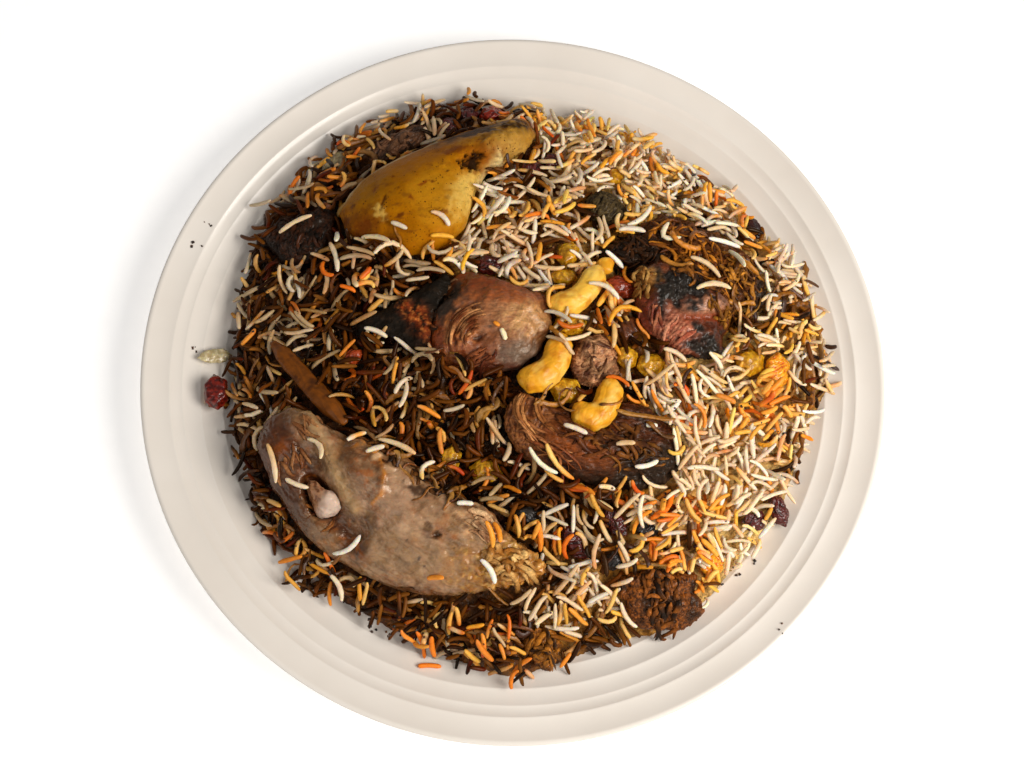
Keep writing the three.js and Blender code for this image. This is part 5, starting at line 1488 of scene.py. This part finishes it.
# Strips of golden fried onion over the meat in front of the nuts and behind the charred piece
ONION_STRIPS = [
    (54, -28, -4, 26, 0.3, 1.3), (47, -19, 45, 13, 0.4, 1.2), (57, -19, -50, 13, 0.3, 1.2),
    (55, -31, 6, 20, -0.3, 1.1), (48, -36, -12, 17, 0.3, 1.2), (60, -34, -30, 14, 0.5, 1.1),
    (40, -24, 20, 12, 1.0, 1.1), (63, 57, 10, 16, 2.2, 1.2), (72, 50, -30, 18, 1.8, 1.3),
    (58, 63, 60, 14, -2.0, 1.1), (84, 60, -20, 18, 1.2, 1.2), (92, 52, -60, 14, 1.6, 1.2),
    (68, 40, -15, 16, 1.8, 1.2), (100, 44, -50, 14, 1.0, 1.2), (78, 55, 30, 12, -2.4, 1.1),
]
for x, y, turn, length, bend, wide in ONION_STRIPS:
    lay_shred(x, y, math.radians(turn), length, bend, wide, 0.3, 0.45, ("cc7c1c", "dc9430", "a45c10"))

# Grains that the others have buried are taken out again
for kind, grains in laid.items():
    laid[kind] = [grain for grain in grains
                  if (look_up(carried, *grain[0][:, :2].T) < grain[0][:, 2] + 2.1 * grain[1].max()).any()]

# The red raisin at the left edge lies on stray grains that slid out over the plate
RAISIN_AT = (-127.6, -8)
for layer, way in ((0, 1.4), (1, 0.2)):
    for row in range(5):
        along, aside = np.linspace(-4.6, 4.6, 9), 2.1 * (row - 2)
        px = RAISIN_AT[0] + along * math.cos(way) - aside * math.sin(way)
        py = RAISIN_AT[1] + along * math.sin(way) + aside * math.cos(way)
        pz = plate_level(np.hypot(px, py)) + 1 + 1.7 * layer
        add_grain(("brown", "white", "yellow")[row % 3], px, py, pz, 0.95, 0.3, GIRTH_TOP)

# Cooked starch lets some light through, and the brown grains are stained and oily
KIND_LOOKS = (("white", 0.55, 0.36), ("yellow", 0.5, 0.36), ("orange", 0.4, 0.32), ("brown", 0.05, 0.24))
for kind, clear, wet in KIND_LOOKS:
    finish = Finish(f"rice_{kind}")
    coat = finish.coat()
    starch = finish.cloudy(500, 3)
    finish.feed(finish.skin, {
        "Base Color": finish.mixed(0.6, coat, finish.steps(starch, (0.3, 0.78), (0.65, 1.12)), "MULTIPLY"),
        "Roughness": finish.steps(starch, (0.3, wet), (0.7, wet + 0.2)),
        "Normal": finish.relief(starch, 0.0002),
        "Subsurface Weight": clear,
        "Subsurface Radius": (0.0045, 0.003, 0.0012),
        "Specular IOR Level": 0.16 if kind == "brown" else 0.3,
        "Specular Tint": (1.0, 0.8, 0.6, 1) if kind == "brown" else (1, 1, 1, 1),
    })
    rice = rods(f"loose_rice_{kind}", laid[kind])
    rice.data.materials.append(finish.material)
    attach(rice, "root")

crisp = Finish("crisp_onion")
crisp_coat = crisp.coat()
crisp_spots = crisp.cloudy(520, 4, 0.65)
crisp.feed(crisp.skin, {
    "Base Color": crisp.mixed(0.9, crisp_coat, crisp.steps(crisp_spots, (0.3, 0.45), (0.7, 1.2)), "MULTIPLY"),
    "Roughness": crisp.steps(crisp_spots, (0.3, 0.25), (0.7, 0.5)),
    "Normal": crisp.relief(crisp_spots, 0.0004),
})
onion_shreds = rods("fried_onion_shreds", shreds)
onion_shreds.data.materials.append(crisp.material)
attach(onion_shreds, "root")


# Crumbs: ground spice and burnt specks over the food, and some that fell on the bare plate
crumbs = []
CRUMB_SPOTS = [(-58, -107.6), (-46.7, -110.7), (-38.5, -113.7), (-134, 69), (-138, 59.8), (94, -85),
               (110.4, -112.7), (-138, 12.6), (-53, -112), (-60, -110), (100, -80), (88, -90), (112, -30)]


def drop_crumb(x, y, size):
    """A small hard bit, lying on whatever is there"""
    px, py, along = curl(x, y, chance.uniform(0, 3), size * 1.8, 0, 0, 3)
    pz = np.full(3, look_up(carried, px, py).max() + 0.35 * size)
    girth = size * chance.uniform(0.55, 1.0, 4)
    rows = stained(["120a06", "2a160a", "4a280e"], ["7a4a1a"], 4, 0.4, 0.2)
    crumbs.append((np.stack([px, py, pz], -1), girth, chance.uniform(0.5, 0.9), 0 * girth, rows))


for x, y in CRUMB_SPOTS:
    for _ in range(3):
        drop_crumb(x + chance.normal(0, 1.3), y + chance.normal(0, 1.3), chance.uniform(0.25, 0.8))
CRUMBS = 520
for _ in range(CRUMBS):
    x, y = any_spot(open_cells)
    drop_crumb(x, y, 0.18 + 0.14 * chance.exponential())
spice_crumbs = rods("spice_crumbs", crumbs, 5)
spice_crumbs.data.materials.append(burnt_finish)
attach(spice_crumbs, "root")
